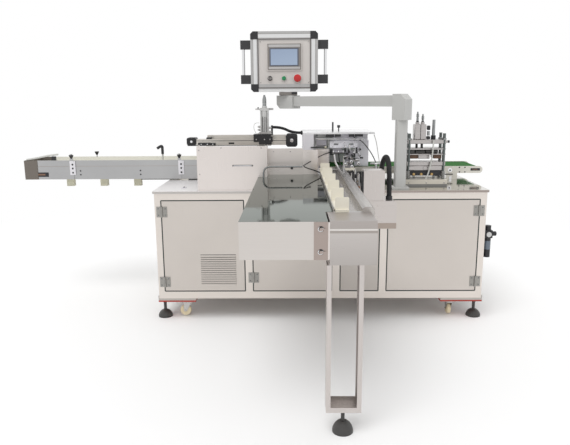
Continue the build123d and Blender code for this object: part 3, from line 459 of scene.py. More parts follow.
def profile_finish():
    """The bands follow d = min(half width - |x - x0|, half height - |z - z0|), the way to the edge."""
    g = Graph("panel_profile")
    low, high = machine_box("panel_box")
    middle, half = (low + high) / 2, (high - low) / 2
    across = half.x - g.math("ABSOLUTE", g.axis("X") - middle.x)
    upwards = half.z - g.math("ABSOLUTE", g.axis("Z") - middle.z)
    d = g.math("MINIMUM", across, upwards)
    # painted highlight: the pale band along the profile
    colour = g.blend(d.within(*BRIGHT), (0.44, 0.435, 0.43), (0.72, 0.72, 0.72))
    # painted shade: the thin dark line of the groove
    colour = g.blend(d.within(*GROOVE_SHADE), colour, (0.30, 0.29, 0.28))
    colour = g.blend(d.within(*SEAM), colour, (0.13, 0.115, 0.11))
    grit = g.noise(900.0, detail=2.0)
    return g.surface(colour, 0.36 + grit * 0.08, 0.7, g.bump(grit, 0.00002, 0.5))


warm_rail = rail_finish()
profile_steel = profile_finish()
print("extrusions ready")

# %% [markdown]
# ## The infeed's side plates
# The side plates are cool satin sheet outside and carry a pale slide face inside. Their far end
# wears a browned cast cap. All of it is one node, so length and depth divide it.

# %% Infeed finish
CAP_TO_X, INNER_Y = -2042, 552


def infeed_finish():
    """Cap up to a certain length, slide face beyond a certain depth, satin sheet for the rest."""
    g = Graph("infeed_side_steel")
    x = g.axis("X")
    cap = x < CAP_TO_X
    inside = (g.axis("Y") > INNER_Y) * (x > CAP_TO_X)
    grain = scratches(g)
    sheet = g.blend(clouds(g), (0.37, 0.37, 0.375), (0.50, 0.50, 0.50))
    sides = g.blend(inside, sheet, (0.80, 0.79, 0.72))
    roughness = 0.26 + grain * 0.10 + inside * 0.2 + cap * 0.2
    metallic = 0.9 - inside * 0.9 - cap * 0.5
    return satin(g, g.blend(cap, sides, (0.17, 0.15, 0.13)), roughness, metallic, grain)


infeed_steel = infeed_finish()
print("infeed finish ready")

# %% [markdown]
# ## Aluminium, paint, plastic and rubber
# Machined aluminium is milled flat and blasted, so it is duller and whiter than steel. Paint and
# moulded plastic show a very fine orange peel. Rubber is almost black and scatters all light.

# %% Other finishes
def milled(name, tone, rough=0.38):
    """Blasted aluminium: fine even grit and soft machining waves."""
    g = Graph(name)
    grit = g.noise(900.0, detail=2.0)
    wave = g.noise(30.0, (1, 6, 1), 2.0)
    colour = g.blend(wave, shade(tone, 0.93), shade(tone, 1.05))
    return g.surface(colour, rough + grit * 0.08, 0.8, g.bump(grit, 0.00002, 0.5))


def coated(name, tone, rough):
    """Paint or plastic: slow tone changes, and a fine peel in the bump."""
    g = Graph(name)
    peel = g.noise(260.0, detail=2.0)
    cloud = g.noise(4.0, detail=4.0)
    colour = g.blend(cloud, shade(tone, 0.95), shade(tone, 1.05))
    return g.surface(colour, rough + peel * 0.08, 0.0, g.bump(peel, 0.00006, 0.4))


aluminium = milled("blasted_aluminium", (0.60, 0.60, 0.59))
frame_plate = milled("belt_frame_plate", (0.66, 0.64, 0.58))
jaw_steel = milled("jaw_steel", (0.34, 0.33, 0.36), 0.3)
bed_white = coated("pale_slide_plate", (0.72, 0.70, 0.64), 0.35)
lavender = coated("lavender_plate", (0.88, 0.87, 0.93), 0.4)
grey_paint = coated("grey_arm_paint", (0.49, 0.49, 0.475), 0.35)
pale_paint = coated("pale_station_paint", (0.70, 0.69, 0.72), 0.35)
panel_plate = coated("panel_plate_paint", (0.60, 0.565, 0.54), 0.35)
ivory = coated("ivory_plastic", (0.82, 0.78, 0.67), 0.45)
olive = coated("aged_slat_plastic", (0.60, 0.585, 0.46), 0.5)
cream = coated("cream_wheel", (0.72, 0.62, 0.42), 0.45)
clear = coated("pale_air_tube", (0.55, 0.55, 0.52), 0.3)
black = coated("black_plastic", (0.016, 0.016, 0.018), 0.38)
rubber = coated("black_rubber", (0.012, 0.012, 0.013), 0.6)
seal_rubber = coated("door_seal_rubber", (0.035, 0.045, 0.042), 0.55)
dark_iron = coated("dark_foot_iron", (0.05, 0.048, 0.046), 0.45)
brass = coated("brass_fitting", (0.55, 0.36, 0.13), 0.3)
print("coats ready")

# %% [markdown]
# ## Two materials in one node
# Some small nodes hold two materials, one above the other: a chrome bar between black blocks, a
# cream block on grey steel, a sheet hood with black pins, a bar with a red edge. Two heights part
# them. The belt is its own case: its top is a fine fabric pressed into green plastic.

# %% Split finishes and belt
def split_by_height(name, levels, between, outside, metal):
    """The first tone and metal share where Z lies between the levels, the others outside them."""
    g = Graph(name)
    middle = g.axis("Z").within(*levels)
    cloud = g.noise(6.0, detail=3.0)
    around = g.blend(cloud, shade(outside, 0.9), shade(outside, 1.1))
    metallic = middle * metal[0] + (1 - middle) * metal[1]
    return g.surface(g.blend(middle, around, between), 0.4 - middle * 0.22 + cloud * 0.06, metallic)


def woven_belt():
    """Weave = squares of a chequer, in the bump alone; slow clouds for the colour."""
    g = Graph("green_belt_fabric")
    weave = g.add("ShaderNodeTexChecker", {}, {"Vector": g.stretched(), "Scale": 500.0}, out=1)
    cloud = g.noise(6.0, detail=4.0)
    colour = g.blend(cloud, (0.014, 0.10, 0.012), (0.022, 0.14, 0.018))
    bump = g.bump(weave, 0.0001, 0.3)
    return g.surface(colour, 0.62 + cloud * 0.15, 0.0, bump, Specular_IOR_Level=0.12)


handle_mix = split_by_height("handle_bar_and_blocks", (1628.5, 1807.5), (0.7, 0.7, 0.71),
                             (0.03, 0.03, 0.032), (1.0, 0.0))
# painted shade: the press base's cream is a darker copy of the ivory plastic, for the shade under the
# press
press_cream = split_by_height("press_cream_plastic_shaded", (892.5, 2000), (0.64, 0.60, 0.52),
                              (0.24, 0.24, 0.23), (0.0, 1.0))
hood_mix = split_by_height("hood_sheet_and_pins", (1000, 1222.6), (0.80, 0.80, 0.81),
                           (0.05, 0.05, 0.055), (0.0, 0.3))
bar_mix = split_by_height("base_bar_red_edge", (111, 124), (0.45, 0.05, 0.035),
                          (0.50, 0.47, 0.44), (0.0, 0.8))
green = woven_belt()
print("mixed finishes ready")

# %% [markdown]
# ## Dressing the construction
# One list says which finish goes on which node. A node that nobody names would show up at once,
# because the cell prints what is missing.

# %% Finish each piece of the construction
FINISHES = {
    worktop_steel: ["worktop"],
    steel_x: ["cabinet_back"],
    door_steel: ["door_left", "door_middle", "door_right"],
    fixed_steel_shaded: ["fixed_panel"],
    lane_end_steel: ["lane_end"],
    profile_steel: ["panel_box"],
    hinge_steel: ["frame_hinges"],
    steel_z: ["cabinet_sides"],
    seal_x: ["front_rails"],
    seal_z: ["front_posts"],
    bed_white: ["infeed_bed"],
    housing_x: ["drive_box"],
    infeed_steel: ["infeed_sides"],
    warm_rail: ["transfer_beam"],
    housing_z: ["leg_frame", "valve_cover"],
    guard_steel: ["feeder_guard"],
    wall_steel: ["recess_wall"],
    deck_steel: ["deck"],
    column_steel: ["press_columns"],
    handle_mix: ["panel_handles"],
    turned: ["conveyor_rollers"] + [f"caster_fork_{k}" for k in range(1, 5)],
    aluminium: ["bag_mouth", "press_anvil", "press_head", "press_platen", "lift_cylinder"],
    grey_paint: ["support_arm"],
    pale_paint: ["station_frame"],
    hood_mix: ["hood_top"],
    lavender: ["hanging_plates"],
    jaw_steel: ["valve_bank"],
    beam_steel: ["lane_channel"],
    frame_plate: ["belt_frame"],
    bar_mix: ["base_bars"],
    ivory: ["flight_chain", "station_table"],
    press_cream: ["press_base"],
    olive: ["infeed_chain"],
    cream: [f"caster_wheel_{k}" for k in range(1, 5)],
    black: ["transfer_ends", "transfer_carriage", "hose_glands", "panel_corners", "filter_regulator"],
    rubber: ["hoses"],
    dark_iron: ["levelling_feet"],
    panel_plate: ["panel_face", "panel_controls"],
    green: ["green_belt"],
}
for material, names in FINISHES.items():
    for name in names:
        NODES[name].data.materials.clear()
        NODES[name].data.materials.append(material)
missing = sorted(set(NODES) - {n for names in FINISHES.values() for n in names})
print("without a finish:", missing)

# %% [markdown]
# ## Sheets of points
# Every added piece is a grid of points, rows by columns. A turned part is a profile swung round an
# axis, a softened block is a stack of rounded outlines, and a tube is a ring carried along a route.
# The rows of a closed end run to one point, which is then welded, so nothing is left open.

# %% Grids
QUARTERS = np.array([[1, 1], [-1, 1], [-1, -1], [1, -1]])


def turned_part(profile, base, axis, sides=20):
    """Each (radius, height) of the profile becomes a ring round the axis through base, at that
    height along the axis; a first and a last radius of 0 close the ends."""
    radius, height = np.array(profile, float).T
    angle = np.linspace(0, 2 * np.pi, sides, endpoint=False)
    ring = radius[:, None, None] * np.stack([np.cos(angle), np.sin(angle)], -1)
    sign = -1 if axis.startswith("-") else 1
    tall = np.broadcast_to(sign * height[:, None, None], ring.shape[:2] + (1,))
    order = {"Z": [0, 1, 2], "X": [2, 0, 1], "Y": [1, 2, 0]}[axis[-1]]
    return np.concatenate([ring, tall], -1)[..., order] + np.array(base, float)


def soft_block(x, y, z, edge):
    """Six outlines one above the other: a point, the rectangle drawn in by the edge, the full one
    twice, the drawn-in one and a point again; each corner is a quarter arc of three points."""
    low, high = np.array([x, y, z], float).T
    middle, half = (low + high) / 2, (high - low) / 2
    edge = min(edge, *half)
    angle = np.deg2rad(90 * np.arange(4)[:, None] + np.array([0, 45, 90])).ravel()
    corner = np.repeat(QUARTERS, 3, 0) * (half[:2] - edge)
    arc = np.stack([np.cos(angle), np.sin(angle)], -1)
    share = np.array([0, 1, 1, 1, 1, 0])[:, None, None]
    out = np.array([0, 0, edge, edge, 0, 0])[:, None, None]
    level = np.array([low[2], low[2], low[2] + edge, high[2] - edge, high[2], high[2]])[:, None, None]
    outline = middle[:2] + share * corner + out * arc
    return np.concatenate([outline, np.broadcast_to(level, outline.shape[:2] + (1,))], -1)


def tube(route, radius, sides, across=(0, 0, 1)):
    """A ring square to the route at each of its points, the radius free to change on the way; the
    direction across gives the rings their turn, and both ends are drawn to a point."""
    route = np.asarray(route, float)
    along = np.gradient(route, axis=0)
    along /= np.linalg.norm(along, axis=1)[:, None]
    side = np.cross(along, across)
    side /= np.linalg.norm(side, axis=1)[:, None]
    over = np.cross(side, along)
    angle = np.linspace(0, 2 * np.pi, sides, endpoint=False)[None, :, None]
    radius = np.broadcast_to(radius, len(route))[:, None, None]
    rings = route[:, None] + radius * (np.cos(angle) * side[:, None] + np.sin(angle) * over[:, None])
    ends = [np.repeat(route[k][None, None], sides, 1) for k in (0, -1)]
    return np.concatenate([ends[0], rings, ends[1]])


print("grid of a block", soft_block((0, 1), (0, 1), (0, 1), 0.1).shape)

# %% [markdown]
# ## Smooth routes
# A hose never runs in straight pieces. A few listed points steer a NURBS curve, Blender works the
# curve out, and its points are read back and spaced evenly, so that the rings round them are all as
# far apart.

# %% Routes and bent tubes
def flowing(points, step=4.0):
    """The smooth route through a NURBS curve of order three, as points at equal steps."""
    curve = bpy.data.curves.new("route", "CURVE")
    curve.dimensions, curve.resolution_u = "3D", 24
    spline = curve.splines.new("NURBS")
    spline.points.add(len(points) - 1)
    spline.points.foreach_set("co", np.hstack([places(points), np.ones((len(points), 1))]).ravel())
    spline.order_u, spline.use_endpoint_u = 3, True
    holder = bpy.data.objects.new("route", curve)
    bpy.context.scene.collection.objects.link(holder)
    worked_out = holder.evaluated_get(bpy.context.evaluated_depsgraph_get())
    shape = bpy.data.meshes.new_from_object(worked_out)
    line = np.empty(len(shape.vertices) * 3)
    shape.vertices.foreach_get("co", line)
    line = (line.reshape(-1, 3) - np.array(ZERO)) / MM
    bpy.data.objects.remove(holder)
    walk = np.concatenate([[0], np.cumsum(np.linalg.norm(np.diff(line, axis=0), axis=1))])
    even = np.linspace(0, walk[-1], max(8, int(walk[-1] / step)))
    return np.stack([np.interp(even, walk, line[:, k]) for k in range(3)], -1)


def bent_tube(points, radius, sides, step=4.0, across=(0, 1, 0)):
    """A tube of one radius along the smooth route that the points steer."""
    return tube(flowing(points, step), radius, sides, across)


print("points on a bend", len(flowing([(0, 0, 0), (100, 0, 0), (100, 0, 100)])))

# %% [markdown]
# ## From grids to a piece
# Neighbouring points of a grid make a quad, so the faces are just four shifted copies of the
# grid's numbering. Doubles are welded first and the normals are worked out after, so each closed
# form faces outwards. A few small parts come back everywhere, so they get a name here.

# %% Pieces and small parts
WELD, SHARP_FROM = 2e-6, math.radians(38)


def piece(name, grids, material, body, closed=True):
    """One object from several grids; closed joins each grid's last column to its first."""
    vertices, quads, count = [], [], 0
    for grid in grids:
        rows, columns = grid.shape[:2]
        index = np.arange(rows * columns).reshape(rows, columns) + count
        if closed:
            index = np.hstack([index, index[:, :1]])
        quads.append(np.stack([index[:-1, :-1], index[:-1, 1:], index[1:, 1:], index[1:, :-1]], -1))
        vertices.append(grid.reshape(-1, 3))
        count += rows * columns
    mesh = bpy.data.meshes.new(name)
    faces = np.vstack([q.reshape(-1, 4) for q in quads])
    mesh.from_pydata(places(np.vstack(vertices)).tolist(), [], faces.tolist())
    weld = bmesh.new()
    weld.from_mesh(mesh)
    bmesh.ops.remove_doubles(weld, verts=weld.verts, dist=WELD)
    bmesh.ops.dissolve_degenerate(weld, edges=weld.edges, dist=WELD)
    bmesh.ops.recalc_face_normals(weld, faces=weld.faces)
    weld.to_mesh(mesh)
    weld.free()
    mesh.materials.append(material)
    mesh.shade_smooth()
    mesh.set_sharp_from_angle(angle=SHARP_FROM)
    made = bpy.data.objects.new(name, mesh)
    bpy.context.scene.collection.objects.link(made)
    if body:
        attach(made, body)
    print(name, len(mesh.polygons), "faces")
    return made


def rod(base, axis, radius, length, sides=20):
    """A plain round bar."""
    return turned_part([(0, 0), (radius, 0), (radius, length), (0, length)], base, axis, sides)


def disc(base, axis, radius, height, edge=0.8):
    """A short turned plug with a broken edge."""
    edge = min(edge, radius / 2, height / 2)
    profile = [(0, 0), (radius, 0), (radius, height - edge), (radius - edge, height), (0, height)]
    return turned_part(profile, base, axis)


def screw(base, axis, radius):
    """A button head with its hexagon socket, seen from the axis side."""
    profile = [(0, 0.4), (0.45, 0.4), (0.45, 0.75), (0.8, 0.62), (1, 0.3), (1, 0), (0, 0)]
    return turned_part([(radius * r, radius * h) for r, h in profile], base, axis, 12)


print("grid of a screw", screw((0, 0, 0), "Z", 4).shape)

# %% [markdown]
# ## The two hoses
# The conduit is corrugated nylon: rings at a steady pitch, so the radius swings along the way. The
# air hose is smooth. Both follow the very points of the construction and stand in for its plain
# hoses.

# %% Conduit and air hose
CONDUIT = [(391, -300, 895), (391, -300, 990), (396, -228, 1082), (397, -122, 1114),
           (392, -22, 1074), (389, 32, 982), (389, 32, 902)]
AIR_HOSE = [(-322, 728, 1250), (-258, 728, 1250), (-176, 728, 1208), (-113, 728, 1208)]
RING_PITCH, RING_RADIUS, RING_SWING, STEP = 7.0, 14.2, 1.2, 1.4

line = flowing(CONDUIT, STEP)
walk = np.arange(len(line)) * STEP
ribs = RING_RADIUS + RING_SWING * np.cos(2 * np.pi * walk / RING_PITCH)
conduit = piece("corrugated_conduit", [tube(line, ribs, 20, (1, 0, 0))], rubber, "machine")
hose = piece("air_hose", [bent_tube(AIR_HOSE, 10, 16)], rubber, "machine")
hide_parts("hoses")
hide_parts("hoses")

# %% [markdown]
# ## Thin air tubes
# Thin nylon tubes bring air to the valves. They leave a fitting, bow in the direction they are
# pushed and come down where the next fitting holds them. The one on the lift cylinder rides with
# the carriage.

# %% Air tubes
JAW_TUBE = [(100, 498, 1082), (40, 420, 1075), (-60, 150, 1050), (-106, 24, 1040), (-104, 20, 1034),
            (-80, 40, 1020), (-40, 80, 1004), (4, 100, 986), (6, 100, 980)]
HOOD_TUBE = [(248, 505, 1206), (262, 500, 1180), (310, 490, 1168), (360, 480, 1112),
             (405, 460, 1040), (430, 440, 960), (432, 440, 881)]
PALE_TUBE = [(404, 500, 1205), (420, 490, 1160), (430, 470, 1080), (446, 450, 980), (448, 450, 881)]
LIFT_TUBE = [(-420, 640, 1286), (-455, 635, 1290), (-462, 635, 1240), (-440, 640, 1206)]
LEAN = (0.3, 1, 0.2)

air = [bent_tube(route, 3.4, 10, 8, LEAN) for route in (JAW_TUBE, HOOD_TUBE)]
piece("black_air_tubes", air, rubber, "machine")
piece("pale_air_tubes", [bent_tube(PALE_TUBE, 2.6, 10, 8, LEAN)], clear, "machine")
piece("lift_air_tube", [bent_tube(LIFT_TUBE, 1.6, 8, 6)], clear, "carriage")

# %% [markdown]
# ## The feeder guard and the wall behind it
# The guard is one folded sheet held by a few button screws. Its pull is a slot pressed into the
# sheet: a dark opening under a bright bent lip. The guide bar beside it rises from the worktop and
# bends over to the right.

# %% Guard details
GUARD, WALL = 27, 158
BAR_ROUTE = [(-362, 15, 880), (-362, 15, 994), (-358.6, 15, 1011), (-350.3, 15, 1022.3),
             (-339, 15, 1030.6), (-322, 15, 1034), (-112, 15, 1034)]
LIP = [(0, 0), (1.2, 0), (2.8, 4), (3.2, 100), (2.8, 118), (1.2, 122), (0, 122)]
GUARD_SCREWS = ((-630, 1154), (-375, 1153), (-772, 986), (-772, 1140))
WALL_SCREWS = ((-190, 1118), (-190, 900), (-300, 1118))

piece("guide_bar_sleeve", [tube(BAR_ROUTE, 5.2, 14, (0, 1, 0))], dark_ground, "machine")
screws = [screw((x, GUARD, z), "-Y", 4.5) for x, z in GUARD_SCREWS]
screws += [screw((x, WALL, z), "-Y", 4) for x, z in WALL_SCREWS]
piece("guard_screws", screws, turned, "machine")
shadow = soft_block((-560, -428), (GUARD - 0.8, GUARD + 0.4), (1036, 1046), 0.5)
piece("guard_pull_shadow", [shadow], black, "machine")
lip = turned_part(LIP, (-555, GUARD - 1, 1040), "X", 10)
piece("guard_pull_lip", [lip], chrome, "machine")

# %% [markdown]
# ## Cover sheets, latches and tabs
# Thin sheets close the gaps behind the guard, at the lane's corner and beside the bags, and a strip
# edges the drive box. Two spring latches hold the lane's end plate: a bent wire hook over a turned
# post, with a dark rim round its foot. A pale tab and a push button sit near the recess.

# %% Sheets, latches and tabs
LATCH_X, LATCH_Y, LATCHES_Z = -59, -1371, (838, 935)
RIM = [(0, 0), (12.5, 0), (12.5, 0.5), (0, 0.5)]
POST = [(0, 0), (7, 0), (7, 3), (5, 5), (0, 5)]

sheets = [soft_block((-106, -9), (WALL, WALL + 4), (966.4, 1127), 0.8),
          soft_block((-30.4, -21.8), (-1367, -1362), (804, 962), 0.8),
          soft_block((-8, 86), (500, 504), (985, 1104), 0.8)]
piece("cover_sheets", sheets, wall_steel, "machine")
strip = soft_block((236, 429.5), (-351.2, -350), (708.5, 742), 0.4)
piece("drive_box_strip", [strip], strip_steel, "machine")
hooks = []
for z in LATCHES_Z:
    bow = [(-66, -1375, z + 8), (-72, -1376, z + 2), (-68, -1376, z - 7), (-58, -1376, z - 9),
           (-50, -1376, z - 3), (-52, -1375, z + 7)]
    hooks += [bent_tube(bow, 2.4, 10, 2), turned_part(POST, (LATCH_X, LATCH_Y, z), "-Y", 18)]
piece("latch_hooks", hooks, chrome, "machine")
rims = [turned_part(RIM, (LATCH_X, LATCH_Y, z), "-Y", 22) for z in LATCHES_Z]
piece("latch_shadows", rims, black, "machine")
tab = soft_block((-914, -886), (130, 178), (880, 883), 1)
piece("worktop_tab", [tab], pale_paint, "machine")
piece("worktop_tab_screw", [disc((-900, 160, 883), "Z", 7, 4)], black, "machine")
piece("wall_button", [disc((-180, WALL, 1009), "-Y", 9, 7)], black, "machine")

# %% [markdown]
# ## The transfer axis
# An extruded rail carries a belt between two pulleys in black end housings. The pulleys show as
# rimmed discs with a bright hub, so both are turned profiles on the same axis.

# %% Pulleys and screws of the rail
PULLEYS = ((26, -918, 1154), (40, -181, 1159))
PULLEY = [(0, 0), (1, 0), (1, 3), (0.86, 4.5), (0.8, 2), (0.3, 2), (0.3, 3), (0, 3)]
RAIL_CAP = [(0, 0), (19, 0), (19, 5), (16, 9), (7, 12), (0, 12)]

hubs = [screw((x, 604, 1135), "-Y", 4.5) for x in (-845, -800, -760)]
hubs += [disc((-918, 611, 1154), "-Y", 9, 3), disc((-181, 610, 1159), "-Y", 13, 4)]
hubs += [turned_part(RAIL_CAP, (-790, 660, 1170), "Z")]
piece("rail_hubs", hubs, chrome, "machine")
ends = [soft_block((-812, -772), (640, 676), (1170, 1182), 2),
        soft_block((-950, -332), (624, 640), (1121.5, 1126.2), 1)]
ends += [turned_part([(r * k, h) for k, h in PULLEY], (x, 614, z), "-Y", 28) for r, x, z in PULLEYS]
piece("rail_end_discs", ends, black, "machine")

# %% [markdown]
# ## The lift cylinder
# The lift cylinder is a profile barrel on the carriage: sensor grooves run down its face, small
# fittings stand out at its sides, and a turned boot covers the rod above it.

# %% Cylinder details
ROD_X, BOOT_FOOT = -380, 1407
FITTING = [(0, 0), (8, 0), (8, 14), (5, 16), (5, 22), (0, 22)]
BOOT = [(0, 1407), (14.8, 1407), (14.8, 1420), (12.5, 1422), (15, 1424), (15, 1437), (14.4, 1456),
        (10.4, 1470), (6, 1486), (0, 1486)]

grooves = [soft_block((x, x + 3.4), (624.2, 627.0), (1206, 1330), 0.6) for x in (-394, -382, -370)]
grooves += [soft_block((-431, -421), (640, 668), (1390, 1398), 2)]
piece("cylinder_grooves", grooves, black, "carriage")
boot = turned_part([(r, z - BOOT_FOOT) for r, z in BOOT], (ROD_X, 655, BOOT_FOOT), "Z", 24)
piece("cylinder_rod_boot", [boot], dark_ground, "carriage")
fittings = [screw((x, 597.7, 1168), "-Y", 5) for x in (-440, ROD_X, -340)]
fittings += [turned_part(FITTING, (-409, 640, z), "-X", 12) for z in (1258, 1236)]
fittings += [turned_part(FITTING, (-351, 640, z), "X", 12) for z in (1250, 1222)]
fittings += [soft_block((-447, -413), (648, 662), (1380, 1389), 2),
             soft_block((-347, -314), (646, 664), (1378, 1392), 3),
             soft_block((-432, -328), (618, 668), (1205, 1213), 2),
             soft_block((-420, -340), (617, 626), (1213, 1222), 2)]
piece("cylinder_fittings", fittings, turned, "carriage")

# %% [markdown]
# ## The bag station
# Under the hood sit a clamp bar, suction nozzles and a bank of small valves with their elbows. From
# the front it is a crowd of bright little turned parts with black caps, so a short list of places
# is enough, and the same few profiles repeat. The black parts come first.

# %% Black parts under the hood
HANGERS = (((62, 118), 1190), ((126, 168), 1192), ((224, 262), 1190), ((268, 323), 1192))
COILS = ((205, 1075), (225, 1040), (243, 1066), (214, 1003), (248, 1010))
CAPS = ((196, 1088), (222, 1080), (262, 1050), (276, 1092))
CAP = [(0, 0), (6, 0), (6, 24), (4, 28), (0, 28)]

blocks = [soft_block(x, (478, 500), (foot, 1209), 2) for x, foot in HANGERS]
blocks += [disc((x, 455, z), "-Y", 7, 16) for x, z in COILS]
blocks += [turned_part(CAP, (x, 446, z), "Z", 12) for x, z in CAPS]
blocks += [soft_block((90, 112), (488, 500), (1060, 1104), 3),
           soft_block((268, 300), (500, 520), (1020, 1036), 3)]
piece("station_black_parts", blocks, black, "machine")

# %% [markdown]
# The bright parts are one clamp bar, elbows that point three ways, collars on the nozzle bar and
# thin rods that stand on the station's table.

# %% Bright parts under the hood
TABLE = 881
ELBOW = [(0, 0), (9, 0), (9, 12), (6, 14), (6, 30), (8, 32), (8, 40), (0, 40)]
ELBOWS = {
    "Z": ((200, 470, 1096), (228, 462, 1096), (262, 470, 1068)),
    "X": ((254, 470, 1030), (254, 470, 1080)),
    "-Y": ((214, 452, 1016), (240, 452, 1046), (206, 452, 1052), (300, 500, 1060),
           (282, 560, 1020), (310, 560, 1100)),
}
TABLE_RODS = ((198, 412), (222, 408), (250, 412), (206, 500), (246, 500))

bright = [tube([(-12, 486, 1176), (100, 486, 1176), (330, 486, 1174)], 4.5, 12)]
bright += [turned_part(ELBOW, spot, way, 12) for way, spots in ELBOWS.items() for spot in spots]
bright += [screw((x, 505, z), "-Y", 5) for x in (112, 196, 262) for z in (1124, 1151)]
bright += [rod((x, 515, 1082), "X", 17.2, 6, 24) for x in (112, 150, 184)]
bright += [rod((x, y, TABLE), "Z", 5, 94, 12) for x, y in TABLE_RODS]
bright += [soft_block((182, 196), (440, 470), (975, 1060), 2),
           soft_block((372, 462), (418, 440), (1000, 1012), 4),
           soft_block((404, 420), (420, 438), (TABLE, 1000), 3)]
piece("station_bright_parts", bright, chrome, "machine")

# %% [markdown]
# Beside the valve cover stand the drive's push rods, two bearing blocks and a bronze cam.

# %% Rods and cam beside the cover
PUSH_RODS = ((199, -240, 120), (210, -262, 96), (221, -210, 140), (203, -180, 168))

rods = [rod((x, y, 873), "Z", 5, tall, 12) for x, y, tall in PUSH_RODS]
piece("drive_side_rods", rods, chrome, "machine")
bearing = [soft_block((225, 236.5), (-341, -300), (873.5, 1044), 2),
           soft_block((196, 212), (-200, -170), (873.5, 1010), 2)]
piece("drive_side_block", bearing, black, "machine")
bronze_cam = coated("bronze_cam", (0.17, 0.08, 0.04), 0.4)
cam = soft_block((196, 218), (-338, -316), (885, 958), 4)
piece("drive_side_cam", [cam], bronze_cam, "machine")

# %% [markdown]
# In front of the valves a feeler bar ends in a tan knob, dark plugs sit in bright sockets, and a
# black tube bends down beside a wider bright one. A brass union stands on the table, and a black
# sheet behind the nozzles on the table is painted shade.

# %% Feeler, plugs and union
FEELER_Y, FEELER_Z = 474, 1118
PLUGS = ((195, 1098), (211, 1075), (192, 1044), (246, 1059), (261, 1040), (276, 1086))
SOCKETS = ((240, 1019), (291, 1005), (202, 1002), (245, 984))
SOCKET = [(0, 0), (12, 0), (12, 6), (9, 8), (0, 8)]
NOZZLE = [(0, 0), (2, 0), (7, 30), (7, 66), (0, 66)]
UNION = [(0, 0), (11, 0), (11, 20), (8, 24), (8, 44), (12, 48), (12, 60), (0, 60)]
DARK_BEND = [(150, 450, 1084), (152, 446, 1040), (160, 440, 1002), (178, 430, 972)]
BRIGHT_BEND = [(120, 450, 1070), (124, 448, 1040), (130, 446, 1008), (146, 440, 984), (164, 420, 958)]

cup = soft_block((-6, 66), (492, 519), (1128, 1172), 3)
piece("station_cup", [cup], jaw_steel, "machine")
dark = [rod((-46, FEELER_Y, FEELER_Z), "X", 4, 98, 12)]
dark += [disc((x, 438, z), "-Y", 8, 12) for x, z in PLUGS]
dark += [disc((x, 430, z), "-Y", 5, 3) for x, z in SOCKETS]
# painted shade: the black sheet from the table up to 955 stands for the shade under the station
dark += [bent_tube(DARK_BEND, 4, 10), soft_block((192, 332), (392, 398), (TABLE, 955), 2),
         disc((307, 500, 1040), "X", 6, 22)]
piece("station_dark_fittings_and_shade_sheet", dark, black, "machine")
bright = [turned_part(SOCKET, (x, 438, z), "-Y", 18) for x, z in SOCKETS]
bright += [bent_tube(BRIGHT_BEND, 8, 14)]
bright += [turned_part(NOZZLE, (x, 384, TABLE + 1), "Z", 14) for x in (214, 236, 258, 282)]
piece("station_chrome_fittings", bright, chrome, "machine")
tan_knob = coated("tan_knob", (0.50, 0.47, 0.36), 0.4)
knob = disc((52, FEELER_Y, FEELER_Z), "X", 9, 14, 3)
piece("feeler_knob", [knob], tan_knob, "machine")
piece("brass_parts", [turned_part(UNION, (285, 398, TABLE), "Z", 6)], brass, "machine")

# %% [markdown]
# ## The panel's screen
# The screen glows faintly blue behind its glass and is a little lighter at the lower right, where
# the room shines in. It lies in a dark recess of a grey bezel, with a lighter bar above and below.

# %% Screen
BEZEL = 631.6
SHINE_SLOPE, SHINE_FROM, SHINE_TO = 0.35, 1615.2, 1885.2


def screen_glass():
    """Blue grey that darkens with Z - slope * X, under a clear coat, with a faint hazy glow."""
    g = Graph("screen_glass")
    share = g.ramp(g.axis("Z") - g.axis("X") * SHINE_SLOPE, SHINE_FROM, SHINE_TO)
    colour = g.blend(share, (0.33, 0.41, 0.52), (0.22, 0.28, 0.39))
    glow = g.blend(g.noise(5.0, detail=2.0), (0.18, 0.225, 0.30), (0.21, 0.265, 0.35))
    return g.surface(colour, 0.12, 0.0, Emission_Color=glow, Emission_Strength=0.35, Coat_Weight=0.4)


bezel_grey = coated("bezel_grey", (0.22, 0.20, 0.185), 0.35)
recess_grey = coated("recess_grey", (0.10, 0.11, 0.14), 0.4)
bezel_light = coated("bezel_light", (0.47, 0.46, 0.455), 0.35)
bezel = soft_block((-352, -111), (BEZEL, BEZEL + 2.6), (1662, 1842), 1)
piece("screen_bezel", [bezel], bezel_grey, "panel")
recess = soft_block((-338, -129), (BEZEL - 1, BEZEL + 1), (1686, 1812), 1)
piece("screen_recess", [recess], recess_grey, "panel")
glass = soft_block((-329, -138), (BEZEL - 2.2, BEZEL - 0.2), (1694, 1804), 1)
piece("screen", [glass], screen_glass(), "panel")
bars = [soft_block((-344, -119), (BEZEL - 1, BEZEL + 0.8), z, 0.8) for z in ((1667, 1682), (1818, 1836))]
piece("screen_bars", bars, bezel_light, "panel")

# %% [markdown]
# ## Buttons and handles
# Three actuators sit below the screen: a black selector, a green push button and the red mushroom
# head with its pale ring. All are turned, and their axes point at the operator. A bright sleeve
# covers each handle's bar, and a flange with a bolt head tops the arm under the panel.

# %% Buttons, handles and flange
BUTTONS_Z, PLATE_Y = 1602, 640
SELECTOR_X, START_X, STOP_X = -336, -235, -138
SELECTOR = [(0, 0), (17, 0), (17, 4), (13, 5), (13, 14), (11, 17), (0, 17)]
START = [(0, 0), (15, 0), (15, 8), (13, 10), (0, 10.6)]
START_RING = [(0, 0), (18, 0), (18, 4), (16.5, 6), (0, 6)]
STOP_RING = [(0, 0), (32, 0), (32, 2.5), (30, 3.5), (0, 3.5)]
STOP = [(0, 0), (13, 0), (13, 10), (26, 12), (27, 18), (23, 24), (11, 27), (0, 28)]

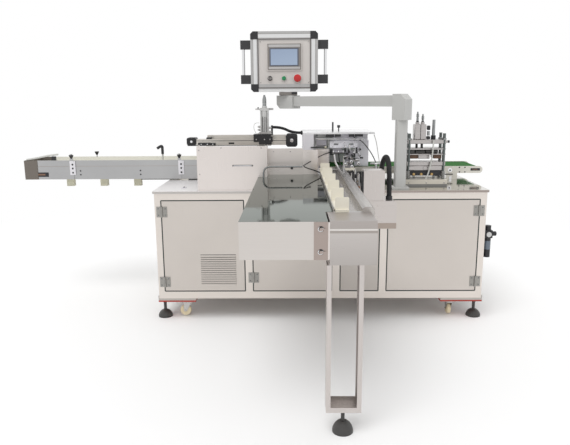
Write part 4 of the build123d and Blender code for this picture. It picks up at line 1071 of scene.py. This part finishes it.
start_green = coated("start_green", (0.01, 0.22, 0.08), 0.3)
stop_red = coated("stop_red", (0.50, 0.02, 0.02), 0.3)
ring_grey = coated("button_ring", (0.6, 0.58, 0.55), 0.3)
flange_grey = coated("flange_grey", (0.20, 0.185, 0.17), 0.45)
grip = soft_block((SELECTOR_X - 4, SELECTOR_X + 4), (612, 624), (BUTTONS_Z - 12, BUTTONS_Z + 12), 2)
selector = [turned_part(SELECTOR, (SELECTOR_X, PLATE_Y, BUTTONS_Z), "-Y", 24), grip]
piece("selector_switch", selector, black, "panel")
start = turned_part(START, (START_X, PLATE_Y - 3, BUTTONS_Z), "-Y", 24)
piece("start_button", [start], start_green, "panel")
rings = [turned_part(START_RING, (START_X, PLATE_Y, BUTTONS_Z), "-Y", 24),
         turned_part(STOP_RING, (STOP_X, PLATE_Y, BUTTONS_Z), "-Y", 28)]
piece("button_rings", rings, ring_grey, "panel")
stop = turned_part(STOP, (STOP_X, PLATE_Y - 2, BUTTONS_Z), "-Y", 28)
piece("stop_button", [stop], stop_red, "panel")
sleeves = [rod((x, 692.5, 1628.6), "Z", 11, 179) for x in (-529, 65)]
piece("handle_bars", sleeves, chrome, "panel")
flange = soft_block((-271, -139), (636, 762), (1482.5, 1505.5), 2)
piece("arm_flange", [flange], flange_grey, "machine")
bolt = soft_block((-181, -141), (632, 650), (1490, 1505), 3)
piece("arm_flange_bolt", [bolt], black, "machine")
screws = [screw((x, PLATE_Y, z), "-Y", 3.6) for x in (-404, -58) for z in (1572, 1857)]
piece("panel_screws", screws, turned, "panel")

# %% [markdown]
# ## The press: plates and rods
# Nuts hold the head plate on its columns, and rods, spacers and a piston stand between the plates.
# The head and the anvil of the construction are plain blocks, so a stack of plates at the same
# place stands in for each.

# %% Press head, anvil, rods and nuts
COLUMNS = [(x, y) for x in (602, 834) for y in (230, 330)]
PLATE_X, PLATE_DEPTH, PRESS_Y, HEAD = (590, 846), (222, 338), 280, 1184
NUT = [(0, 0), (15, 0), (16, 1.5), (16, 9), (15, 10), (0, 10)]
HOOKED = [(0, 0), (8, 0), (8, 34), (6, 38), (9, 42), (9, 60), (5, 66), (5, 76), (0, 78)]
PISTON = [(0, 0), (10, 0), (10, 128), (8, 130), (0, 130)]

head = [soft_block(PLATE_X, PLATE_DEPTH, (1158, HEAD), 2)]
head += [soft_block(x, (243, 317), (HEAD, 1285), 3) for x in ((640, 677), (679, 716))]
head += [soft_block((846, 872), (272, 288), (1160, 1176), 5)]
head += [disc((x, PRESS_Y, 1285), "Z", 13, 14) for x in (662, 697)]
anvil = [soft_block(PLATE_X, PLATE_DEPTH, (1012, 1039), 2),
         soft_block((598, 838), (226, 334), (980, 1012), 2)]
anvil += [soft_block(x, (221, 226), (984, 1006), 1) for x in ((600, 640), (700, 740))]
steel_parts = piece("press_head_and_anvil", head + anvil, plate_steel, "machine")
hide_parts("press_head")
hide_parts("press_anvil")
fixed = [turned_part(NUT, (x, y, HEAD), "Z", 6) for x, y in COLUMNS]
fixed += [turned_part(HOOKED, (x, PRESS_Y, z), "Z", 16) for x, z in ((662, 1290), (697, 1275))]
fixed += [turned_part(PISTON, (772, PRESS_Y, HEAD), "Z", 18), rod((734, 262, 1210), "Z", 9, 30, 12),
          screw((846, PRESS_Y, 1168), "X", 9)]
fixed += [rod((x, PRESS_Y, 922), "Z", 8, 60, 14) for x in (650, 786)]
piece("press_rods_and_nuts", fixed, dark_ground, "machine")

# %% [markdown]
# ## The press: small parts
# Black caps sit on the head, brass studs along the bed, and a cream air tube comes down in front.

# %% Press caps, studs, tube and base screws
STUD = [(0, 0), (9, 0), (9, 2), (6, 5), (0, 5)]
CREAM_ROUTE = [(758, 206, 1184), (756, 203, 1120), (750, 202, 1060), (738, 202, 980), (716, 203, 924)]

caps = [soft_block((724, 744), (250, 276), (1246, 1276), 4),
        soft_block((722, 746), (250, 276), (1186, 1206), 4),
        disc((662, PRESS_Y, 1299), "Z", 9, 8), disc((697, PRESS_Y, 1299), "Z", 9, 6),
        disc((772, PRESS_Y, HEAD), "Z", 16, 26), disc((872, PRESS_Y, 1168), "X", 9, 10),
        soft_block((612, 824), (228, 332), (944, 979), 2)]
piece("press_black_parts", caps, black, "machine")
studs = [turned_part(STUD, (x, 228, 954), "-Y", 14) for x in (640, 690, 760)]
piece("press_brass_studs", studs, brass, "machine")
cream_tube = bent_tube(CREAM_ROUTE, 5, 12, 6, (0.2, 1, 0))
piece("press_cream_tube", [cream_tube], clear, "machine")
screws = [screw((x, 190, 901), "-Y", 5) for x in (600, 718, 836)]
piece("press_base_screws", screws, turned, "machine")

# %% [markdown]
# ## The press: platen and springs
# The platen slides on the columns with its plates, jaws and inner blocks, so these ride on it.
# Springs are wound: a tube whose route climbs as it circles.

# %% Platen and springs
SPRING_TURNS, SPRING_WIRE, SPRING_RADIUS = 7, 1.8, 14.5
JAW_DEPTH = (234, 326)


def spring(x, y, low, high):
    """The route circles the column at an even rate while it climbs from low to high."""
    t = np.linspace(0, 1, SPRING_TURNS * 14)
    angle = 2 * np.pi * SPRING_TURNS * t
    wide = [x + SPRING_RADIUS * np.cos(angle), y + SPRING_RADIUS * np.sin(angle)]
    return tube(np.stack([*wide, low + (high - low) * t], -1), SPRING_WIRE, 8)


plates = [soft_block(PLATE_X, PLATE_DEPTH, z, 1.5) for z in ((1118, 1129), (1084, 1092))]
plates += [soft_block((668, 744), (236, 324), (1057, 1084), 2)]
platen = piece("platen_plates", plates, plate_steel, "press")
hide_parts("press_platen")
inner = [soft_block((604, 640), (230, 330), (1093, 1118), 3),
         soft_block((648, 712), JAW_DEPTH, (1092, 1112), 4),
         soft_block((716, 800), (238, 322), (1092, 1118), 6)]
inner += [rod((x, PRESS_Y, 1128), "Z", 8, 66, 16) for x in (662, 697)]
piece("platen_dark_parts", inner, dark_iron, "press")
bronze_jaw = coated("bronze_jaw", (0.12, 0.06, 0.03), 0.4)
jaws = [soft_block(x, JAW_DEPTH, (1058, 1084), 2) for x in ((602, 664), (770, 822))]
piece("platen_bronze_jaws", jaws, bronze_jaw, "press")
piece("anvil_springs", [spring(x, y, 925, 977) for x, y in COLUMNS], turned, "machine")

# %% [markdown]
# ## Doors, seals and the air unit
# A black rubber profile runs round each door opening, seen as a dark line. Every hinge leaf takes
# two screws, and so does the leaf on the frame beside it. On the right side hangs the air unit: a
# smoky bowl below and a gauge in front.

# %% Seals, hinge screws and regulator
OPENINGS = [((-1024, -496), (211, 815)), ((-435, 76), (211, 770)), ((139, 384), (211, 770)),
            ((444, 1023), (211, 815))]
SEAL_OUT, SEAL_HALF, SEAL_Y = 4.5, 3, (9.3, 10.2)
HINGES = {"door_left": (-1024, 1, (272, 745)), "door_middle": (-435, 1, (301, 700)),
          "door_right": (1023, -1, (272, 745))}
LEAF_X, LEAF_Y, LEAF_Z = 23, 7, 22
UNIT_X = 1099
BOWL = [(0, 0), (14, 0), (20, 5), (22.6, 14), (22.6, 70), (0, 70)]
GAUGE = [(0, 0), (17, 0), (17, 8), (15, 9), (14.4, 7.6), (0, 7.6)]

seals = []
for (left, right_edge), (foot, top) in OPENINGS:
    seals += [soft_block((x - SEAL_HALF, x + SEAL_HALF), SEAL_Y, (foot - 4, top + 4), 0.3)
              for x in (left - SEAL_OUT, right_edge + SEAL_OUT)]
    seals += [soft_block((left - 4, right_edge + 4), SEAL_Y, (z - SEAL_HALF, z + SEAL_HALF), 0.3)
              for z in (foot - SEAL_OUT, top + SEAL_OUT)]
piece("door_seals", seals, seal_rubber, "machine")
for door, (edge, side, heights) in HINGES.items():
    levels = [z + dz for z in heights for dz in (-LEAF_Z, LEAF_Z)]
    leaves = (("_hinge_screws", edge + side * LEAF_X, door),
              ("_frame_screws", edge - side * LEAF_X, "machine"))
    for ending, x, body in leaves:
        screws = [screw((x, LEAF_Y, z), "-Y", 4.5) for z in levels]
        piece(door + ending, screws, dark_ground, body)
smoky = coated("smoky_bowl", (0.13, 0.16, 0.20), 0.15)
bowl = turned_part(BOWL, (UNIT_X, 45, 470), "Z", 24)
piece("regulator_bowl", [bowl], smoky, "machine")
gauge = [turned_part(GAUGE, (UNIT_X, 20, 585), "-Y", 24), screw((1152, 45, 585), "X", 8)]
piece("regulator_gauge", gauge, aluminium, "machine")

# %% [markdown]
# ## The infeed
# Along the infeed's side plate run the seam of its guide rail, slots for moving it and strips with
# three holes. Clamp knobs stand on top. The holes and slots are thin dark plates on the face, painted
# shade for their hollows, because from here their depth doesn't show. Two black strips along the
# lower edge are painted shadow under the infeed's belts.

# %% Infeed details
STRIPS_X, HOLES_Z, KNOB_Z = (-1784, -988), (998, 969, 938), 1040
KNOB = [(0, 0), (5, 0), (9.6, 8), (16, 22), (17, 25), (15, 27), (0, 27)]
KNOBS = ((-1790, 548), (-1000, 548), (-1700, 848))
PIPE = [(-1134, 612, 1066), (-1134, 612, 1100), (-1134, 612, 1122), (-1146, 612, 1124),
        (-1172, 612, 1106)]

seam = soft_block((-2040, -800), (549.2, 550.4), (984, 986), 0.3)
piece("infeed_seam", [seam], strip_steel, "machine")
strips = [soft_block((x - 21, x + 21), (544.6, 546.4), (922, 1024), 0.8) for x in STRIPS_X]
piece("bracket_strips", strips, pale_paint, "machine")
worn_slider = coated("worn_slider", (0.20, 0.11, 0.07), 0.5)
slider = soft_block((-2044, -1990), (547.4, 549), (919, 931), 1)
piece("slot_slider", [slider], worn_slider, "machine")
# painted shade: the black plate of the slot behind the worn slider
dark = [soft_block((-2056, -1966), (548.6, 550.6), (908, 941), 0.8)]
# painted shadow: black strips along the infeed's lower edge, for the shaded underside of its belts
dark += [soft_block(x, (556, 566), (883, 889.2), 1) for x in ((-1290, -1012), (-968, -800))]
# painted shade: black discs for the holes in the strips and the side plate
dark += [disc((x, 544.8, z), "-Y", 7, 0.8) for x in STRIPS_X for z in HOLES_Z]
dark += [disc((x, 550.2, z), "-Y", 6, 0.8) for x in (-1289, -1730) for z in (951, 923)]
dark += [turned_part(KNOB, (x, y, KNOB_Z), "Z", 16) for x, y in KNOBS]
dark += [rod((-1700, 848, 1027), "Z", 3, 14, 12), bent_tube(PIPE, 10, 14),
         soft_block((-1938, -1908), (553, 572), (1026, 1057), 2)]

# %% [markdown]
# ## The belt's frame
# The frame's end plate has a tensioning slot with a worn block in it, two rows of bolts and the
# bearing of the drum. Its slots and bolt holes are black plates of painted shade, and its dark holes
# join those of the infeed in one piece. A pale lever reaches over the infeed's far end.

# %% Belt frame and lever
BOLTS = ((1029, 964), (1031, 931), (1069, 964), (1070, 931), (945, 862))
BEARINGS = ((962, 944, 16, 3), (250, 945, 9, 4), (966, 890, 11, 4))
LEVER = [(-2122, 556, 1034), (-2046, 556, 1046), (-1950, 560, 1066), (-1890, 562, 1071)]

# painted shade: black plates for the two slots and black discs for the bolt holes
dark += [soft_block((1110, 1178), (527.6, 529.4), (940, 958), 0.8),
         disc((962, 526, 944), "-Y", 6, 3), soft_block((926, 984), (527, 529.4), (911, 919), 0.8)]
dark += [disc((x, 528.8, z), "-Y", 5, 1) for x, z in BOLTS]
piece("slots_and_knobs", dark, black, "machine")
lever = [bent_tube(LEVER, 6.5, 12, 6), rod((-1134, 612, 1024), "Z", 7, 46, 14)]
piece("infeed_lever", lever, clear, "machine")
worn_block = coated("worn_block", (0.12, 0.07, 0.05), 0.5)
block = soft_block((1122, 1160), (526.8, 528), (944, 954), 0.8)
piece("slot_block", [block], worn_block, "machine")
bearings = [disc((x, 529, z), "-Y", radius, height) for x, z, radius, height in BEARINGS]
piece("belt_bearing", bearings, chrome, "machine")

# %% [markdown]
# ## Light and floor
# A catalogue picture has a white floor that runs into a white wall, one broad soft light and a
# gentle shadow. The sky gives an even level, a wide sun gives the shadow its direction, and the
# floor turns to plain white away from the machine, so no horizon shows.

# %% World, sun and floor
SKY_LEVEL, SUN_LEVEL, SUN_SIZE = 0.78, 1.25, math.radians(40)
SUN_TURN = (math.radians(28), math.radians(-16), 0)
FLOOR_MIDDLE, LIT_TO, WHITE_FROM, FLOOR_REACH = (-472, 110.5), 2600, 4600, 40000


def studio_world():
    """The lamps' level for diffuse light, and plain white for the eye and for reflections."""
    g = Graph("studio", "worlds")
    rays = [g.add("ShaderNodeLightPath", out=name) for name in ("Is Camera Ray", "Is Glossy Ray")]
    strength = SKY_LEVEL + g.math("MAXIMUM", *rays) * (1 - SKY_LEVEL)
    sky = g.add("ShaderNodeBackground", {}, {"Color": (1, 1, 1, 1), "Strength": strength})
    return g.end(sky, "ShaderNodeOutputWorld")


def floor_material():
    """White that is lit near the machine and shines plainly white further out, by the distance
    root of (x - x0) squared plus (y - y0) squared."""
    g = Graph("white_floor")
    x, y = g.axis("X") - FLOOR_MIDDLE[0], g.axis("Y") - FLOOR_MIDDLE[1]
    share = g.ramp(g.math("SQRT", x * x + y * y), LIT_TO, WHITE_FROM, "SMOOTHSTEP")
    white = {"Base Color": (0.96, 0.96, 0.96, 1), "Roughness": 0.9}
    lit = g.add("ShaderNodeBsdfPrincipled", {}, white)
    shine = g.add("ShaderNodeEmission", {}, {"Color": (1, 1, 1, 1), "Strength": 1.0})
    return g.end(g.add("ShaderNodeMixShader", {}, {0: share, 1: lit, 2: shine}))


bpy.context.scene.world = studio_world()
lamp = bpy.data.objects.new("sun", bpy.data.lights.new("sun", "SUN"))
lamp.data.energy, lamp.data.angle = SUN_LEVEL, SUN_SIZE
lamp.rotation_euler = SUN_TURN
lamp.visible_glossy = False
bpy.context.scene.collection.objects.link(lamp)
sides = (-FLOOR_REACH, FLOOR_REACH)
corners = np.array([[[x, y, 0] for y in sides] for x in sides], float)
floor = piece("floor", [corners], floor_material(), None, closed=False)
bpy.context.scene.view_settings.view_transform = "Standard"
print("stage ready")
